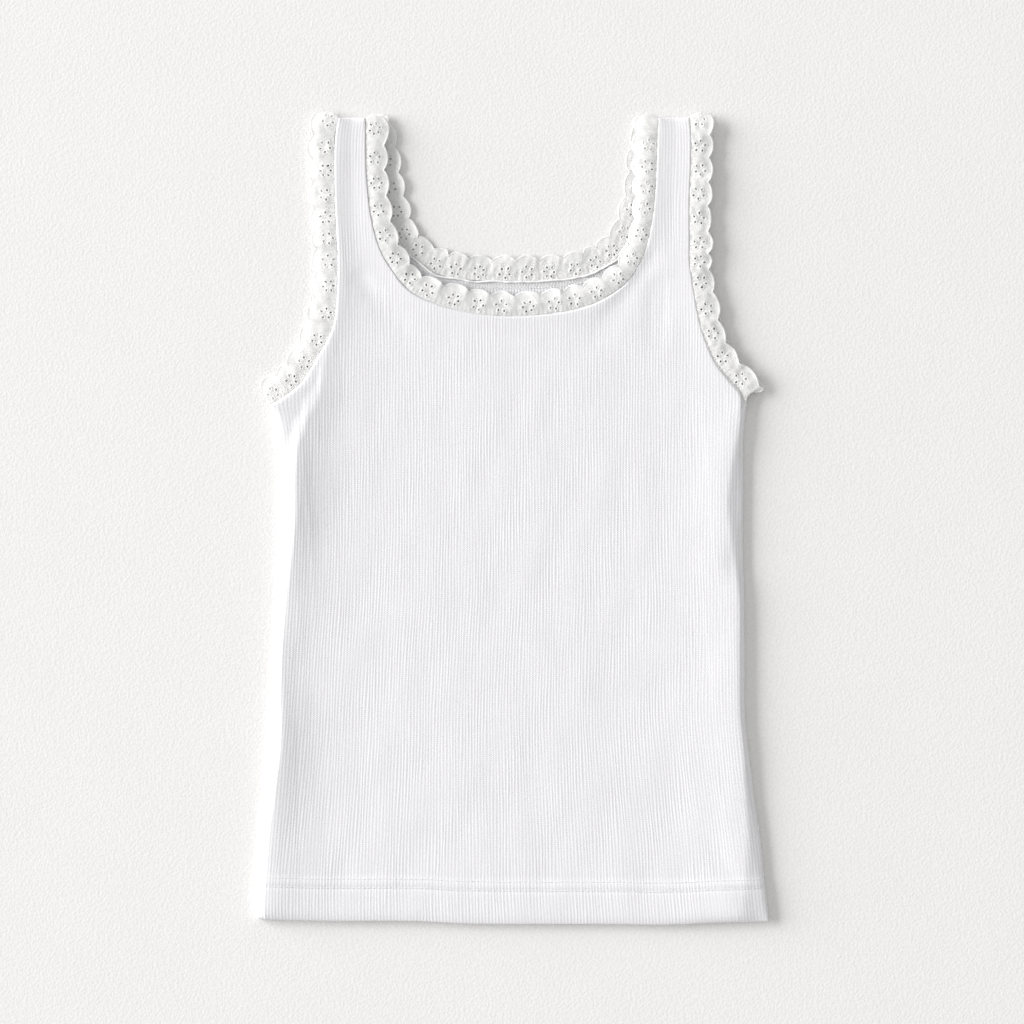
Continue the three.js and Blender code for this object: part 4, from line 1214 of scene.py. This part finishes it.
class TankTopSizes(bpy.types.PropertyGroup):
    """Sizes of the knit and the lace"""
    rib_relief: bpy.props.FloatProperty(
        name="Rib Relief", description="Depth of the grooves between ribs",
        default=0.068 * MM, min=0.0, precision=5, unit="LENGTH")
    lace_thickness: bpy.props.FloatProperty(
        name="Lace Thickness", description="Thickness of the lace's cotton ground",
        default=0.28 * MM, min=0.0, precision=5, unit="LENGTH")
    flower_radius: bpy.props.FloatProperty(
        name="Flower Radius", description="Radius of the ring of eyelets in each flower",
        default=2.6 * MM, min=0.0, precision=5, unit="LENGTH")
    eyelet_length: bpy.props.FloatProperty(
        name="Eyelet Length", description="Longer width of an eyelet",
        default=1.22 * MM, min=0.0, precision=5, unit="LENGTH")
    eyelet_width: bpy.props.FloatProperty(
        name="Eyelet Width", description="Shorter width of an eyelet",
        default=0.84 * MM, min=0.0, precision=5, unit="LENGTH")


class TankTopColours(bpy.types.PropertyGroup):
    """Colours of the knit, the lace, the thread and the floor"""
    knit: bpy.props.FloatVectorProperty(
        name="Knit", description="Crests of the rib knit", subtype="COLOR", size=4,
        default=(0.89, 0.885, 0.90, 1), min=0, max=1)
    # Painted shade: the groove colour darkens the grooves between the ribs
    groove: bpy.props.FloatVectorProperty(
        name="Groove", description="Grooves of the rib knit", subtype="COLOR", size=4,
        default=(0.835, 0.824, 0.852, 1), min=0, max=1)
    lace: bpy.props.FloatVectorProperty(
        name="Lace", description="Ground of the lace", subtype="COLOR", size=4,
        default=(0.972, 0.968, 0.962, 1), min=0, max=1)
    satin: bpy.props.FloatVectorProperty(
        name="Satin", description="Stitched rims and edges of the lace", subtype="COLOR", size=4,
        default=(0.993, 0.991, 0.988, 1), min=0, max=1)
    thread: bpy.props.FloatVectorProperty(
        name="Thread", description="Sewing thread and rolled seams", subtype="COLOR", size=4,
        default=(0.90, 0.895, 0.90, 1), min=0, max=1)
    floor: bpy.props.FloatVectorProperty(
        name="Floor", description="Pale floor", subtype="COLOR", size=4,
        default=(0.868, 0.863, 0.856, 1), min=0, max=1)


class TANKTOP_OT_stage(bpy.types.Operator):
    """Make the floor, the lights and the camera"""
    bl_idname = "tank_top.stage"
    bl_label = "Stage"

    def execute(self, context):
        stage()
        return {"FINISHED"}


class TANKTOP_OT_panels(bpy.types.Operator):
    """Make the rib-knit back and front"""
    bl_idname = "tank_top.panels"
    bl_label = "Rib-Knit Panels"

    def execute(self, context):
        back_panel()
        front_panel()
        return {"FINISHED"}


class TANKTOP_OT_neck_lace(bpy.types.Operator):
    """Make the eyelet lace round the neck"""
    bl_idname = "tank_top.neck_lace"
    bl_label = "Neck Lace"

    def execute(self, context):
        lace_strip("neck_lace_back", "lace_neck_back", BACK_NECK, 1, under_back, 11, "floor",
                   flower_out=4.2)
        lace_strip("neck_lace_front", "lace_neck_front", FRONT_NECK, 1, under_neck_front, 12,
                   "tank_back")
        return {"FINISHED"}


class TANKTOP_OT_armhole_lace(bpy.types.Operator):
    """Make the eyelet lace round both armholes"""
    bl_idname = "tank_top.armhole_lace"
    bl_label = "Armhole Lace"

    def execute(self, context):
        for word, stations, side, seed, foot, base, curl in (
            ("left", LEFT_ARMHOLE, -1, 13, 0.0, (0.5, 0.1), -0.1),
            ("right", RIGHT_ARMHOLE, 1, 15, -4.5, (0.55, 0.7), 0.1),
        ):
            under = f"armhole_lace_{word}_back"
            lace_strip(under, f"lace_armhole_{word}_back", stations, side, under_back, seed, "floor",
                       shift=0.4, narrower=0.8, curl=0.8, lip=0.0, ends=(2.0, foot))
            lace_strip(f"armhole_lace_{word}_front", f"lace_armhole_{word}_front", stations, side,
                       under_armhole_front, seed + 1, under, base=base, curl=curl, ends=(2.0, foot))
        return {"FINISHED"}


class TANKTOP_OT_sewing(bpy.types.Operator):
    """Make the rolled seams, turned edges and stitches"""
    bl_idname = "tank_top.sewing"
    bl_label = "Seams and Stitches"

    def execute(self, context):
        seams()
        turned_edges()
        hem_stitches()
        return {"FINISHED"}


OPERATORS = (
    TANKTOP_OT_stage, TANKTOP_OT_panels, TANKTOP_OT_neck_lace, TANKTOP_OT_armhole_lace,
    TANKTOP_OT_sewing,
)


class TANKTOP_PT_sidebar(bpy.types.Panel):
    """Sizes, colours and pieces of the tank top"""
    bl_idname = "TANKTOP_PT_sidebar"
    bl_label = "Tank Top"
    bl_space_type = "VIEW_3D"
    bl_region_type = "UI"
    bl_category = "Tank Top"

    def draw(self, context):
        layout = self.layout
        for group in (context.scene.tank_top_sizes, context.scene.tank_top_colours):
            box = layout.box()
            for word in group.__annotations__:
                box.prop(group, word)
        for operator in OPERATORS:
            layout.operator(operator.bl_idname)


CLASSES = (TankTopSizes, TankTopColours, *OPERATORS, TANKTOP_PT_sidebar)


def register():
    """Adds the classes, and the sizes and colours to the scene."""
    for cls in CLASSES:
        bpy.utils.register_class(cls)
    bpy.types.Scene.tank_top_sizes = bpy.props.PointerProperty(type=TankTopSizes)
    bpy.types.Scene.tank_top_colours = bpy.props.PointerProperty(type=TankTopColours)


def unregister():
    """Takes away what register adds."""
    del bpy.types.Scene.tank_top_colours
    del bpy.types.Scene.tank_top_sizes
    for cls in reversed(CLASSES):
        bpy.utils.unregister_class(cls)


def main():
    """Makes the whole tank top and its stage."""
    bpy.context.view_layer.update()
    register()
    bpy.ops.tank_top.stage()
    bpy.ops.tank_top.panels()
    bpy.ops.tank_top.neck_lace()
    bpy.ops.tank_top.armhole_lace()
    bpy.ops.tank_top.sewing()


if __name__ == "__main__":
    main()
